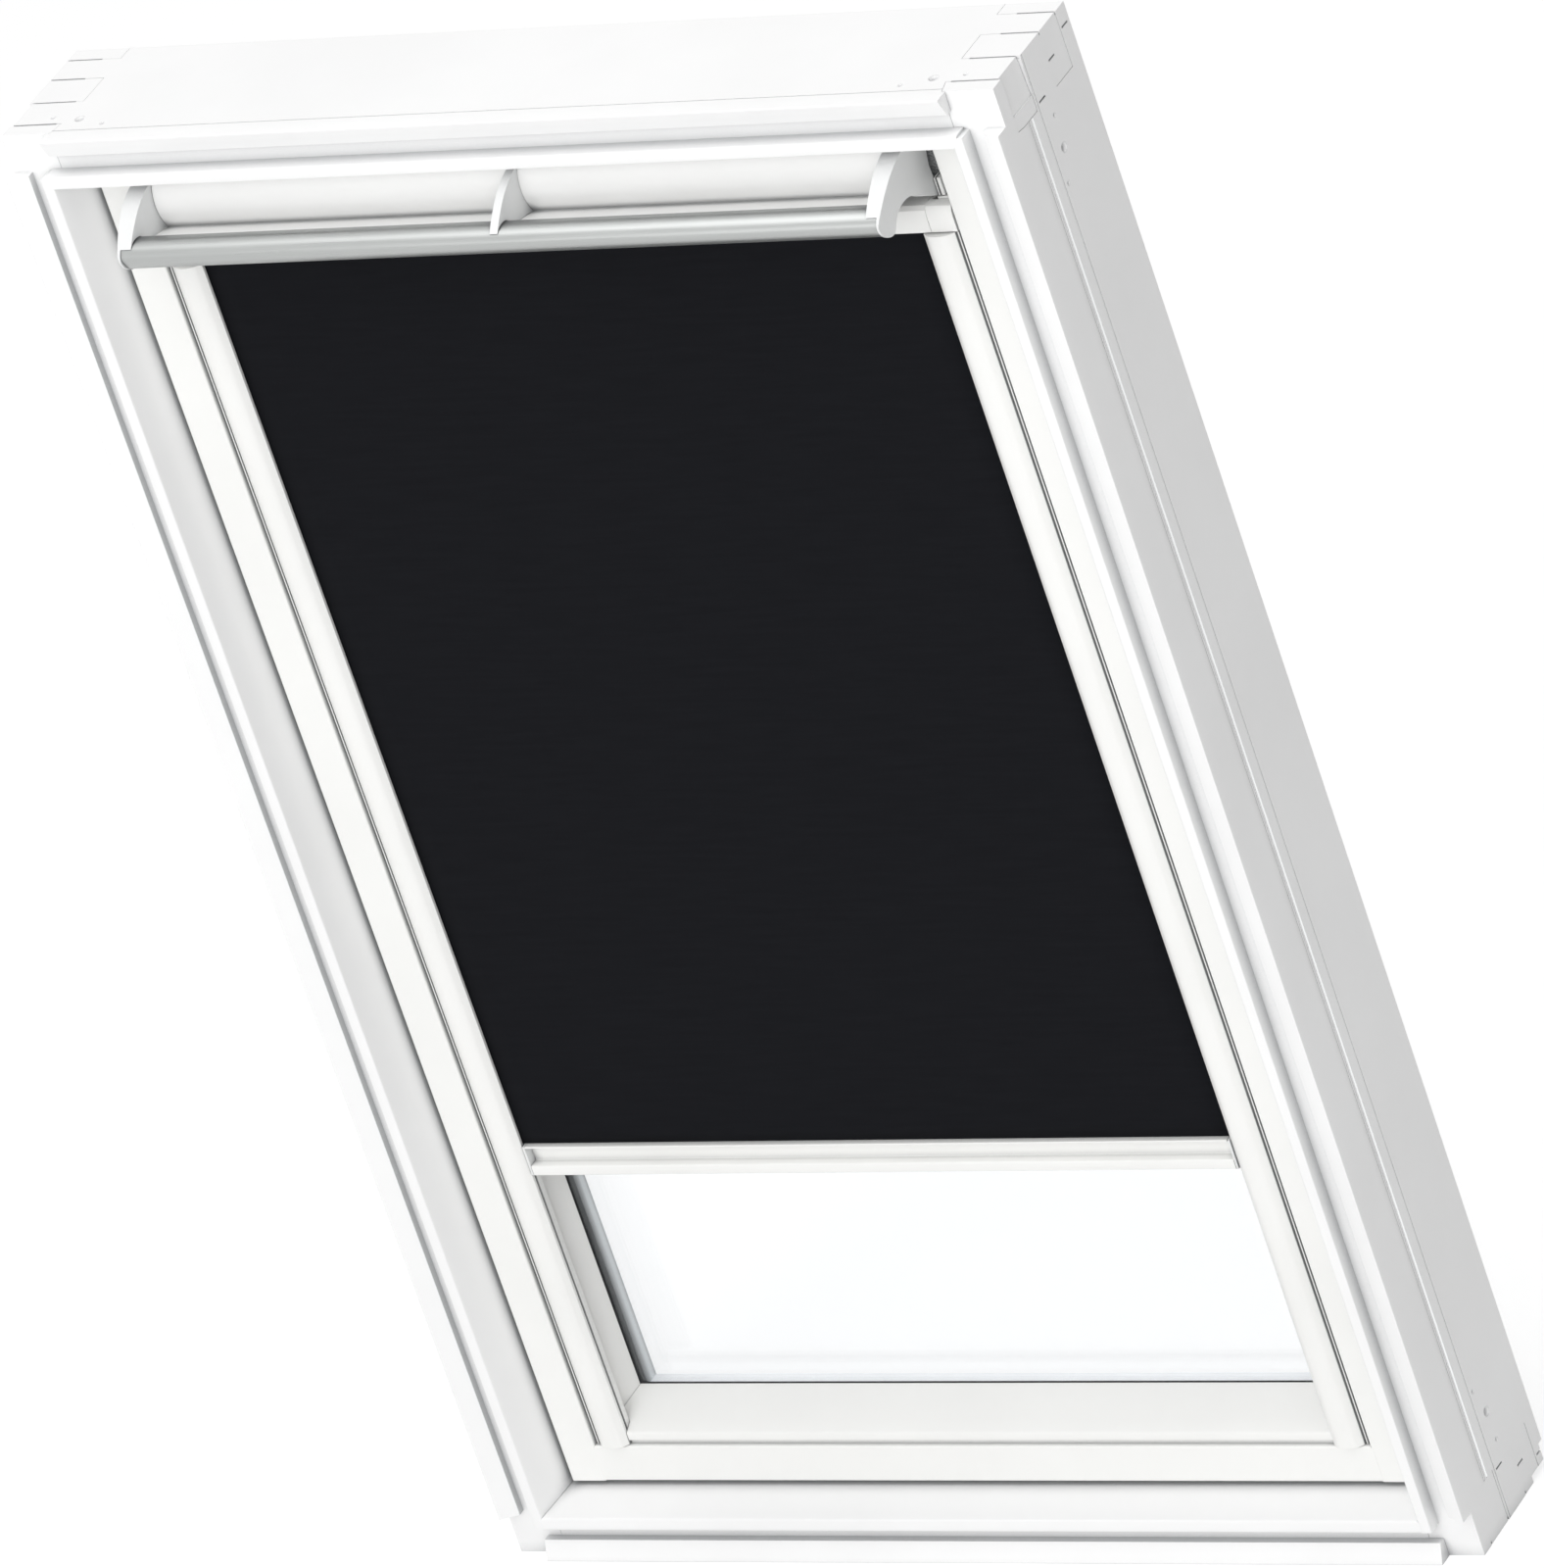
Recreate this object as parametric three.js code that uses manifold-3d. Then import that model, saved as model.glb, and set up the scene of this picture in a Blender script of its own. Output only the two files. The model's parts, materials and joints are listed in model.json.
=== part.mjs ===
// Roof window with a vent flap, a control bar and a roller blackout blind.
// Millimetres, +Z up along the slope, X across, Y from the room towards the outside.
// The model is built with Y zero on the frame's room-side lips. The last lines move it
// so that the row's origin is the middle of the frame's bottom face.

import * as THREE from "three";
import { mergeVertices } from "three/addons/utils/BufferGeometryUtils.js";
import Module from "manifold-3d";

const wasm = await Module();
wasm.setup();

// General clearances and cutting overrun
const SEAT_GAP = 0.3;
const RUN_GAP = 0.5;
const OVERRUN = 4;
const SAME_POINT = 0.01;

// Outer frame
const FRAME_WIDTH = 780;
const FRAME_HEIGHT = 1178;
const FRAME_DEPTH = 126;
const OUTER_LIP_WIDTH = 14.6;
const OUTER_LIP_SLANT = 6.5;
const GROOVE_WIDTH = 12.9;
const GROOVE_DEPTH = 12.7;
const SIDE_INNER_LIP = 8.3;
const RAIL_INNER_LIP = 9.7;
const SIDE_SPLAY = 8.2;
const RAIL_SPLAY = 4.8;
const REVEAL_DEPTH = 34.6;
const LIP_ROUND = 1.4;
const EDGE_ROUND = 1.2;
const TOP_SIDE_LIP_STOP = 29.2;
const BOTTOM_SIDE_LIP_STOP = 36;
const TOP_LIP_STOP = 36.7;
const BOTTOM_LIP_STOP = 27.7;
const FINGER_ENDS = [25.5, 55, 86, 112];
const FINGER_SETBACK = 0.3;
const FRONT_FINGER_RECESS = { top: 2.6, bottom: 1.2, height: 30 };

// Marks that the finger cutter leaves: grooves along the joints in the top and bottom faces,
// and short cuts in the outer faces, each from the end of its member
const MARK_WIDTH = 1.6;
const MARK_DEPTH = 2.6;
const END_MARK_WIDTH = 1.5;
const END_MARK_DEPTH = 2;
const JOINT_MARKS = [
  { depth: 25.5, reach: 38 },
  { depth: 55, reach: 38 },
  { depth: 86, reach: 29 },
  { depth: 112, reach: 29 },
];
const END_MARKS = [
  { front: 60, back: 69.5, end: 39 },
  { front: 87, back: 96, end: 23 },
  { front: 114, back: 123, end: 13.5 },
];

// Relief behind the feet of the side members
const FOOT_CUTS = [
  { front: 100, height: 5.5 },
  { front: 120.5, height: 18.5 },
];

// Score lines along the outer faces, deepest at the given distance from their front edge
const SIDE_SCORES = [
  { place: 57.3, width: 0.8, depth: 0.4, deepest: 0.8 },
  { place: 44.4, width: 2.8, depth: 1.4, deepest: 2.8 },
  { place: 40.6, width: 2.7, depth: 1.5, deepest: 2.7 },
];
const RAIL_SCORES = [{ place: 15.5, width: 1, depth: 1.8, deepest: 0.5 }];

// Screw holes near the corners, each from the end of its member
const PILOT_RADIUS = 2;
const BOLT_HOLE_RADIUS = 4;
const PILOT_DEPTH = 10;
const BOLT_HOLE_DEPTH = 16;
const RAIL_HOLES = [
  { end: 31, depth: 34, radius: PILOT_RADIUS },
  { end: 54, depth: 31, radius: BOLT_HOLE_RADIUS },
  { end: 76, depth: 23.5, radius: PILOT_RADIUS },
];
const SIDE_HOLES = [
  { end: 56, depth: 72.5, radius: PILOT_RADIUS },
  { end: 80, depth: 71.4, radius: BOLT_HOLE_RADIUS },
  { end: 102.5, depth: 62.8, radius: PILOT_RADIUS },
];

// Frame seal and the outside cover sheets
const SEAL_THICKNESS = 1.6;
const SEAL_WIDTH = 9;
const SEAL_INSET = 1;
const SHEET = 1.2;
const FRAME_COVER_INSET = 8;
const FRAME_COVER_WIDTH = 34;
const FRAME_COVER_HEIGHT = 7;
const FRAME_COVER_TAPER = 4;

// Sash
const SASH_SIDE_CLEARANCE = 3.6;
const SASH_END_CLEARANCE = 4;
const SASH_BACK = 104;
const STILE_FACE_WIDTH = 28.7;
const RAIL_FACE_WIDTH = 30;
const FACE_ROUND = 2;
const REBATE_FACE = 46;
const GLASS_SEAT = 73;
const GLASS_SIGHT_EDGE = 57.4;
const STILE_SHOULDER = 43.6;
const STEP_HEIGHT = 3;
const STEP_DEPTH = 2.4;
const BEAD_HEIGHT = 6.5;
const GLASS_REBATE = 14;
const TOP_RAIL_FACE = 62;
const TOP_RAIL_FACE_HEIGHT = 53;

// Glass unit
const PANE_THICKNESS = 4;
const PANE_SPACE = 14;
const GLASS_EDGE_GAP = 1.5;
const GASKET_THICKNESS = 0.6;
const GASKET_SHOW = 1;
const SPACER_INSET = 4;
const SPACER_SIDE_WIDTH = 12;
const SPACER_END_WIDTH = 5;
const SASH_COVER_EDGE = 1;
const SASH_COVER_FLAT = 45;
const SASH_COVER_NOSE = 57;
const SASH_COVER_SILL = 42;
const SASH_COVER_THICK = 2;

// Centre pivots
const PIN_RADIUS = 8;
const PIN_LENGTH = 20;
const BUSH_OUTER_RADIUS = 12;
const BUSH_LENGTH = 21;
const PLATE_THICKNESS = 1.4;
const PLATE_WIDTH = 38;
const PLATE_HEIGHT = 96;
const PLATE_ROUND = 8;
const PLATE_SCREW_RADIUS = 2.4;
const PLATE_SCREW_SPACING = 70;

// Vent flap, control bar and brackets. A rise is the height above the bar's hinge
const BAR_HINGE_DEPTH = 44.5;
const BAR_HINGE_DROP = 42;
const FLAP_FRONT = 14.3;
const FLAP_RISE = 6.5;
const FLAP_HEIGHT = 37;
const FLAP_CREST_RISE = 26;
const FLAP_RADIUS = 30;
const FLAP_STEPS = 12;
const FLAP_WALL = 2.4;
const FLAP_UPPER_REACH = 19;
const FLAP_LIP_FRONT = -4;
const FLAP_LIP_RISE = 12;
const FLAP_LIP_ROUND = 1.1;
const BAR_WALL = 2;

// Side outline of the bar: depth and height of each point from the bar's hinge, over the top
// from the back, and then down the nose
const BAR_TOP_CURVE = [
  [-56.3, 15.5], [-56.6, 18.6], [-59, 19.8], [-62.1, 20.5], [-65.8, 20.5], [-69.1, 19.6], [-72.5, 17.7],
];
const BAR_NOSE_CURVE = [[-75.2, 14.2], [-75.9, 11.4], [-75, 8.4], [-73, 5], [-70.6, 1.9]];
const BRACKET_SIDE_GAP = 14.7;
const BRACKET_WIDTH = 10;
const BRACKET_CHEEK = 1.6;
const BRACKET_FLARE = 4.5;
const BRACKET_FLARE_RISE = 12;
const MIDDLE_BRACKET_WIDTH = 6.3;
const HINGE_PIN_RADIUS = 2.5;
const HINGE_PIN_REACH = 7;
const LUG_WIDTH = 5.6;
const LUG_RADIUS = 5;

// Side outline of a bracket: depth and height of each point from the bar's hinge
const BRACKET_CURVE = [
  [-77, 10.5], [-76, 14.8], [-72.2, 18.6], [-66.5, 24], [-60, 29], [-51, 35], [-41, 39.6],
  [-32, 42.2], [-20, 43.4], [-8, 43], [0, 41], [3, 37], [3.2, 21.6], [4, 5],
  [6.1, -4], [5.9, -8.6], [2.5, -10], [-3, -7.4], [-9.6, -3.6], [-16.5, 1.2],
  [-23, 5.4], [-31, 8.6], [-39.1, 9.5], [-47, 8.3], [-53.4, 4.7], [-57.5, 0],
  [-60.6, -1.9], [-66, -1.2], [-71.5, 1.9], [-75.3, 5.9],
];

// Ventilation filter behind the flap
const FILTER_FRONT = 56.8;
const FILTER_END_GAP = 1.1;

// Latch at the middle of the sash top
const LATCH_CASE_LENGTH = 70;
const LATCH_CASE_DEPTH = 18;
const LATCH_CASE_HEIGHT = 24;
const LATCH_CASE_WALL = 2.6;
const BOLT_LENGTH = 20;
const BOLT_THICKNESS = 8;
const BOLT_TALL = 17;
const BOLT_NOSE = 2.1;
const BOLT_BEVEL = 1.5;
const LATCH_PLACE = 76;
const KEEPER_THICKNESS = 1;
const KEEPER_LENGTH = 84;
const KEEPER_WIDTH = 20;

// Roller blind
const BLIND_BOX_DROP = 54.5;
const BLIND_BOX_HEIGHT = 20.5;
const BLIND_BOX_FRONT = 36.2;
const BLIND_BOX_BACK = 54.2;
const BLIND_BOX_WALL = 1;
const BLIND_BOX_ROUND = 8;
const BLIND_BOX_END_CAP = 2.4;
const BLIND_MOUNT_WIDTH = 5;
const BLIND_MOUNT_FRONT = 47;
const BLIND_MOUNT_BACK = 56.4;
const BLIND_MOUNT_HEIGHT = 13.6;
const BLIND_MOUNT_SLOT = 1.2;
const FABRIC_PLANE = 40;
const FABRIC_THICKNESS = 0.2;
const FABRIC_EDGE_GAP = 1.6;
const FABRIC_ROLL_RADIUS = 6.2;
const FABRIC_SLOT = 2.2;
const ROLLER_RADIUS = 5.2;
const ROLLER_BORE = 2.6;
const ROLLER_SLOT = 1.4;
const ROLLER_PIN_REACH = 12;
const ROLLER_END_GAP = 1.2;
const GUIDE_SIDE_GAP = 2;
const GUIDE_WIDTH = 26.7;
const GUIDE_NOSE = 31;
const GUIDE_EDGE = 36.4;
const GUIDE_SLOT_REACH = 9;
const GUIDE_FLANGE = 1.6;
const GUIDE_FLANGE_THICKNESS = 2.2;
const GUIDE_WALL = 1.6;
const GUIDE_FIN = 1.1;
const GUIDE_FIN_GROOVE = 1.5;
const GUIDE_FIN_DEPTH = 2.6;
const GUIDE_SEAL_FRONT = 39.5;
const GUIDE_SEAL_ROUND = 0.5;

// Bottom bar of the blind
const BLIND_DOWN_SHARE = 0.7613;
const HEM_HEIGHT = 24.2;
const HEM_FRONT = 35.2;
const HEM_BACK = 45;
const HEM_LIP = 1.6;
const HEM_CHANNEL = 8;
const HEM_CHANNEL_HEIGHT = 14.4;
const HEM_CHANNEL_ROUND = 4;
const HEM_WALL = 1.3;
const HEM_END_GAP = 0.7;
const HEM_CAP = 2;
const TONGUE_THICKNESS = 1.2;
const TONGUE_REACH = 7;
const TONGUE_HEIGHT = 16;

// Number of flat steps in round stretches
const ROUND_STEPS = 3;
const CIRCLE_STEPS = 20;
const SMALL_CIRCLE_STEPS = 10;

// Sizes worked out from the ones above
const HALF_FRAME = FRAME_WIDTH / 2;
const GROOVE_END = OUTER_LIP_WIDTH + GROOVE_WIDTH;
const SIDE_WALL = GROOVE_END + SIDE_INNER_LIP + SIDE_SPLAY;
const RAIL_WALL = GROOVE_END + RAIL_INNER_LIP + RAIL_SPLAY;
const SASH_HALF = HALF_FRAME - SIDE_WALL - SASH_SIDE_CLEARANCE;
const SASH_BOTTOM = RAIL_WALL + SASH_END_CLEARANCE;
const SASH_TOP = FRAME_HEIGHT - SASH_BOTTOM;
const PIVOT_HEIGHT = (SASH_BOTTOM + SASH_TOP) / 2;
const PIVOT_DEPTH = (REVEAL_DEPTH + SASH_BACK) / 2;
const SEAL_FRONT = SASH_BACK - SEAL_INSET - SEAL_WIDTH;
const STILE_INNER_FACE = SASH_HALF - STILE_FACE_WIDTH;
const REBATE_EDGE = GLASS_SIGHT_EDGE - GLASS_REBATE;
const SLOPE_SHARE = (GLASS_SIGHT_EDGE - STILE_SHOULDER) / (GLASS_SEAT - REBATE_FACE);
const slopeAt = (depth) => GLASS_SIGHT_EDGE - (GLASS_SEAT - depth) * SLOPE_SHARE;
const PANE_INSET = REBATE_EDGE + GLASS_EDGE_GAP;
const PANE_FRONT = GLASS_SEAT + GASKET_THICKNESS + 2 * SEAT_GAP;
const OUTER_PANE_FRONT = PANE_FRONT + PANE_THICKNESS + PANE_SPACE;
const OUTER_PANE_BACK = OUTER_PANE_FRONT + PANE_THICKNESS;
const VENT_SILL = SASH_TOP - TOP_RAIL_FACE_HEIGHT;
const BAR_HINGE_HEIGHT = SASH_TOP - BAR_HINGE_DROP;
const BAR_FRONT = BAR_HINGE_DEPTH + BRACKET_CURVE[0][0];
const BAR_BACK = BAR_HINGE_DEPTH + BAR_TOP_CURVE[0][0];
const FLAP_BOTTOM = BAR_HINGE_HEIGHT + FLAP_RISE;
const FLAP_TOP = FLAP_BOTTOM + FLAP_HEIGHT;
const BRACKET_OUTER = STILE_INNER_FACE - BRACKET_SIDE_GAP;
const BRACKET_INNER = BRACKET_OUTER - BRACKET_WIDTH;
const FLAP_HALF_LENGTH = BRACKET_INNER - SEAT_GAP;
const BAR_HALF_LENGTH = BRACKET_OUTER - BRACKET_CHEEK - SEAT_GAP;
const BLIND_BOX_TOP = SASH_TOP - BLIND_BOX_DROP;
const BLIND_BOX_BOTTOM = BLIND_BOX_TOP - BLIND_BOX_HEIGHT;
const BLIND_BOX_HALF_LENGTH = SASH_HALF - slopeAt(BLIND_BOX_BACK) - BLIND_BOX_END_CAP - 2 * SEAT_GAP;
const ROLL_CENTRE_DEPTH = FABRIC_PLANE + FABRIC_THICKNESS / 2 + SEAT_GAP + FABRIC_ROLL_RADIUS;
const ROLL_CENTRE_HEIGHT = (BLIND_BOX_BOTTOM + BLIND_BOX_TOP) / 2;
const ROLLER_HALF_LENGTH = BLIND_BOX_HALF_LENGTH - ROLLER_END_GAP;
const FABRIC_HALF_WIDTH = BLIND_BOX_HALF_LENGTH - FABRIC_EDGE_GAP;
const GUIDE_OUTER = STILE_INNER_FACE - GUIDE_SIDE_GAP;
const GUIDE_INNER = GUIDE_OUTER - GUIDE_WIDTH;
const GUIDE_BACK = REBATE_FACE - SEAT_GAP;
const GUIDE_FOOT = SASH_BOTTOM + RAIL_FACE_WIDTH + SEAT_GAP;
const BLIND_REACH = BLIND_BOX_BOTTOM - SASH_BOTTOM - GLASS_SIGHT_EDGE;
const HEM_TOP = BLIND_BOX_BOTTOM - BLIND_REACH * BLIND_DOWN_SHARE;
const HEM_BOTTOM = HEM_TOP - HEM_HEIGHT;
const HEM_HALF_LENGTH = GUIDE_INNER - HEM_END_GAP - HEM_CAP;

// Materials
const paint = (name, color, roughness, metalness = 0) =>
  new THREE.MeshStandardMaterial({ name, color, roughness, metalness });
const MATERIALS = {
  frame: paint("frame_paint", 0xf7f7f5, 0.45),
  sash: paint("sash_paint", 0xf4f4ee, 0.45),
  cover: paint("cover_grey", 0x5c6064, 0.5, 0.7),
  steel: paint("steel_zinc", 0xa8abad, 0.35, 0.9),
  rubber: paint("rubber_black", 0x16171a, 0.8),
  filter: paint("filter_grey", 0x9a9c9d, 0.95),
  glass: new THREE.MeshStandardMaterial({
    name: "glass", color: 0xdfe8ee, roughness: 0.05, transparent: true, opacity: 0.3,
  }),
  spacer: paint("spacer_dark", 0x3b3e44, 0.5),
  flap: paint("flap_white", 0xe9eae8, 0.5),
  bar: paint("bar_aluminium", 0x9ea2a3, 0.3, 0.9),
  bracket: paint("bracket_grey", 0xd8d9d8, 0.45),
  blind: paint("blind_white", 0xf6f6f3, 0.4),
  seal: paint("seal_grey", 0xb9bbbc, 0.85),
  fabric: paint("fabric_black", 0x1b1c20, 0.95),
  plastic: paint("plastic_black", 0x151517, 0.6),
};

const model = new THREE.Group();

// Solids and booleans
function toSolid(geometry) {
  const bare = geometry.clone();
  bare.deleteAttribute("normal");
  bare.deleteAttribute("uv");
  const merged = mergeVertices(bare);
  return new wasm.Manifold(new wasm.Mesh({
    numProp: 3,
    vertProperties: new Float32Array(merged.attributes.position.array),
    triVerts: new Uint32Array(merged.index.array),
  }));
}

function toGeometry(solid) {
  const mesh = solid.getMesh();
  const geometry = new THREE.BufferGeometry();
  geometry.setAttribute("position", new THREE.BufferAttribute(mesh.vertProperties, 3));
  geometry.setIndex(new THREE.BufferAttribute(mesh.triVerts, 1));
  const flat = geometry.toNonIndexed();
  flat.computeVertexNormals();
  return flat;
}

function addNode(name, solid, material) {
  const mesh = new THREE.Mesh(toGeometry(solid), material);
  mesh.name = name;
  model.add(mesh);
}

function cutAll(solid, cutters) {
  return cutters.reduce((rest, cutter) => rest.subtract(cutter), solid);
}

function joinAll(solids) {
  return solids.reduce((whole, solid) => whole.add(solid));
}

function box(x0, x1, y0, y1, z0, z1) {
  const geometry = new THREE.BoxGeometry(x1 - x0, y1 - y0, z1 - z0);
  geometry.translate((x0 + x1) / 2, (y0 + y1) / 2, (z0 + z1) / 2);
  return toSolid(geometry);
}

// A closed outline through corner points [a, b, radius], rounded where a radius is given
function outline(corners, steps = ROUND_STEPS) {
  const points = [];
  const count = corners.length;
  corners.forEach(([a, b, radius = 0], i) => {
    const here = new THREE.Vector2(a, b);
    const before = new THREE.Vector2(...corners[(i + count - 1) % count].slice(0, 2));
    const after = new THREE.Vector2(...corners[(i + 1) % count].slice(0, 2));
    const back = before.sub(here);
    const ahead = after.sub(here);
    const start = here.clone().add(back.setLength(Math.min(radius, back.length() / 2)));
    const end = here.clone().add(ahead.setLength(Math.min(radius, ahead.length() / 2)));
    const round = new THREE.QuadraticBezierCurve(start, here, end);
    points.push(...(radius > 0 ? round.getPoints(steps) : [here]));
  });
  const apart = (point, i) => point.distanceTo(points[(i + 1) % points.length]) > SAME_POINT;
  return new THREE.Shape(points.filter(apart));
}

// An outline of depth and height, drawn out along X
function alongX(shape, x0, x1) {
  const geometry = new THREE.ExtrudeGeometry(shape, { depth: x1 - x0, bevelEnabled: false });
  geometry.applyMatrix4(new THREE.Matrix4().makeBasis(
    new THREE.Vector3(0, 1, 0), new THREE.Vector3(0, 0, 1), new THREE.Vector3(1, 0, 0),
  ));
  geometry.translate(x0, 0, 0);
  return toSolid(geometry);
}

// An outline of place across and height, drawn out along Y
function alongY(shape, y0, y1) {
  const geometry = new THREE.ExtrudeGeometry(shape, { depth: y1 - y0, bevelEnabled: false });
  geometry.rotateX(Math.PI / 2);
  geometry.translate(0, y1, 0);
  return toSolid(geometry);
}

// An outline of place across and depth, drawn out up Z
function alongZ(shape, z0, z1) {
  const geometry = new THREE.ExtrudeGeometry(shape, { depth: z1 - z0, bevelEnabled: false });
  geometry.translate(0, 0, z0);
  return toSolid(geometry);
}

function rod(axis, radius, from, to, centreA, centreB, steps = CIRCLE_STEPS) {
  const geometry = new THREE.CylinderGeometry(radius, radius, to - from, steps);
  const middle = (from + to) / 2;
  if (axis === "x") {
    geometry.rotateZ(Math.PI / 2);
    geometry.translate(middle, centreA, centreB);
  } else if (axis === "z") {
    geometry.rotateX(Math.PI / 2);
    geometry.translate(centreA, centreB, middle);
  } else {
    geometry.translate(centreA, middle, centreB);
  }
  return toSolid(geometry);
}

// Two boxes that take away everything beyond a distance to the left and right
function beyond(half, y0, y1, z0, z1) {
  const right = box(half, FRAME_WIDTH, y0, y1, z0, z1);
  return right.add(right.mirror([1, 0, 0]));
}

function mirrorX(solid) {
  return solid.mirror([1, 0, 0]);
}

// The four members of a rectangle: outlines give the distance in from the outer edge and
// the depth, and each member runs along its edge
function ring(halfWidth, bottom, top) {
  const depthAxis = new THREE.Vector3(0, 1, 0);
  const place = (x, z, across) => ({
    origin: new THREE.Vector3(x, 0, z),
    across,
    run: across.clone().cross(depthAxis),
    length: Math.abs(across.x) > 0 ? top - bottom : 2 * halfWidth,
  });
  return {
    left: place(-halfWidth, bottom, new THREE.Vector3(1, 0, 0)),
    right: place(halfWidth, top, new THREE.Vector3(-1, 0, 0)),
    bottom: place(halfWidth, bottom, new THREE.Vector3(0, 0, 1)),
    top: place(-halfWidth, top, new THREE.Vector3(0, 0, -1)),
  };
}

function member(shape, place, extend = 0) {
  const geometry = new THREE.ExtrudeGeometry(shape, {
    depth: place.length + 2 * extend, bevelEnabled: false,
  });
  geometry.translate(0, 0, -extend);
  geometry.applyMatrix4(new THREE.Matrix4().makeBasis(
    place.across, new THREE.Vector3(0, 1, 0), place.run,
  ));
  geometry.translate(place.origin.x, place.origin.y, place.origin.z);
  return toSolid(geometry);
}

// Outer frame: one moulded outline for the sides and one for the top and bottom. As a
// cutter it has no score lines and is grown on the inside, and on the outside past the face
function frameOutline(innerLip, splay, scores, grow = 0) {
  const opening = GROOVE_END + innerLip;
  const wall = opening + splay;
  const face = grow > 0 ? -OVERRUN : 0;
  const marks = scores.flatMap(({ place, width, depth, deepest }) => [
    [face, place + width], [face + depth, place + deepest], [face, place],
  ]);
  return outline([
    [face, 0, EDGE_ROUND],
    [OUTER_LIP_WIDTH, OUTER_LIP_SLANT],
    [OUTER_LIP_WIDTH, GROOVE_DEPTH],
    [GROOVE_END, GROOVE_DEPTH],
    [GROOVE_END, 0, EDGE_ROUND],
    [opening + grow, 0, LIP_ROUND],
    [wall + grow, REVEAL_DEPTH],
    [wall + grow, FRAME_DEPTH],
    [face, FRAME_DEPTH],
    ...(grow > 0 ? [] : marks),
  ]);
}

function slabAll(front, back) {
  return box(
    -FRAME_WIDTH, FRAME_WIDTH, front, back, -FRAME_HEIGHT, 2 * FRAME_HEIGHT,
  );
}

// The depths at a corner that belong to the side members, widened by half the joint's gap
function fingerSlabs(ownedBySides) {
  const ends = [-OVERRUN, ...FINGER_ENDS, FRAME_DEPTH + OVERRUN];
  const slabs = [];
  for (let i = 0; i + 1 < ends.length; i += 1) {
    const sideOwns = i % 2 === 0;
    if (sideOwns === ownedBySides) {
      slabs.push(slabAll(ends[i] - SEAT_GAP / 2, ends[i + 1] + SEAT_GAP / 2));
    }
  }
  return joinAll(slabs);
}

function cornerHoles(holes, place, reach) {
  const cutters = [];
  for (const hole of holes) {
    for (const along of [hole.end, place.length - hole.end]) {
      const centre = place.origin.clone().addScaledVector(place.run, along);
      const inside = centre.clone().addScaledVector(place.across, reach(hole));
      const start = centre.clone().addScaledVector(place.across, -OVERRUN);
      const steps = hole.radius > PILOT_RADIUS ? CIRCLE_STEPS / 2 + 2 : SMALL_CIRCLE_STEPS - 2;
      if (Math.abs(place.across.x) > 0) {
        const low = Math.min(inside.x, start.x);
        const high = Math.max(inside.x, start.x);
        cutters.push(rod("x", hole.radius, low, high, hole.depth, centre.z, steps));
      } else {
        const low = Math.min(inside.z, start.z);
        const high = Math.max(inside.z, start.z);
        cutters.push(rod("z", hole.radius, low, high, centre.x, hole.depth, steps));
      }
    }
  }
  return cutters;
}

const holeDepth = (hole) => (hole.radius > PILOT_RADIUS ? BOLT_HOLE_DEPTH : PILOT_DEPTH);
const FRAME_PLACES = ring(HALF_FRAME, 0, FRAME_HEIGHT);
const sideOutline = (grow) =>
  frameOutline(SIDE_INNER_LIP, SIDE_SPLAY, SIDE_SCORES, grow);
const railOutline = (grow) =>
  frameOutline(RAIL_INNER_LIP, RAIL_SPLAY, RAIL_SCORES, grow);

// Cutters for the marks and the relief at the four corners
function cornerMarks() {
  const cutters = [];
  for (const { depth, reach } of JOINT_MARKS) {
    const front = depth - MARK_WIDTH / 2;
    const back = depth + MARK_WIDTH / 2;
    const inner = HALF_FRAME - reach;
    cutters.push(beyond(inner, front, back, FRAME_HEIGHT - MARK_DEPTH, FRAME_HEIGHT + OVERRUN));
    cutters.push(beyond(inner, front, back, -OVERRUN, MARK_DEPTH));
  }
  for (const { front, back, end } of END_MARKS) {
    for (const place of [end, FRAME_HEIGHT - end]) {
      cutters.push(beyond(
        HALF_FRAME - END_MARK_DEPTH, front, back, place - END_MARK_WIDTH / 2, place + END_MARK_WIDTH / 2,
      ));
    }
  }
  for (const { front, height } of FOOT_CUTS) {
    cutters.push(beyond(HALF_FRAME - SIDE_WALL, front, FRAME_DEPTH + OVERRUN, -OVERRUN, height));
  }
  return cutters;
}

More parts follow.
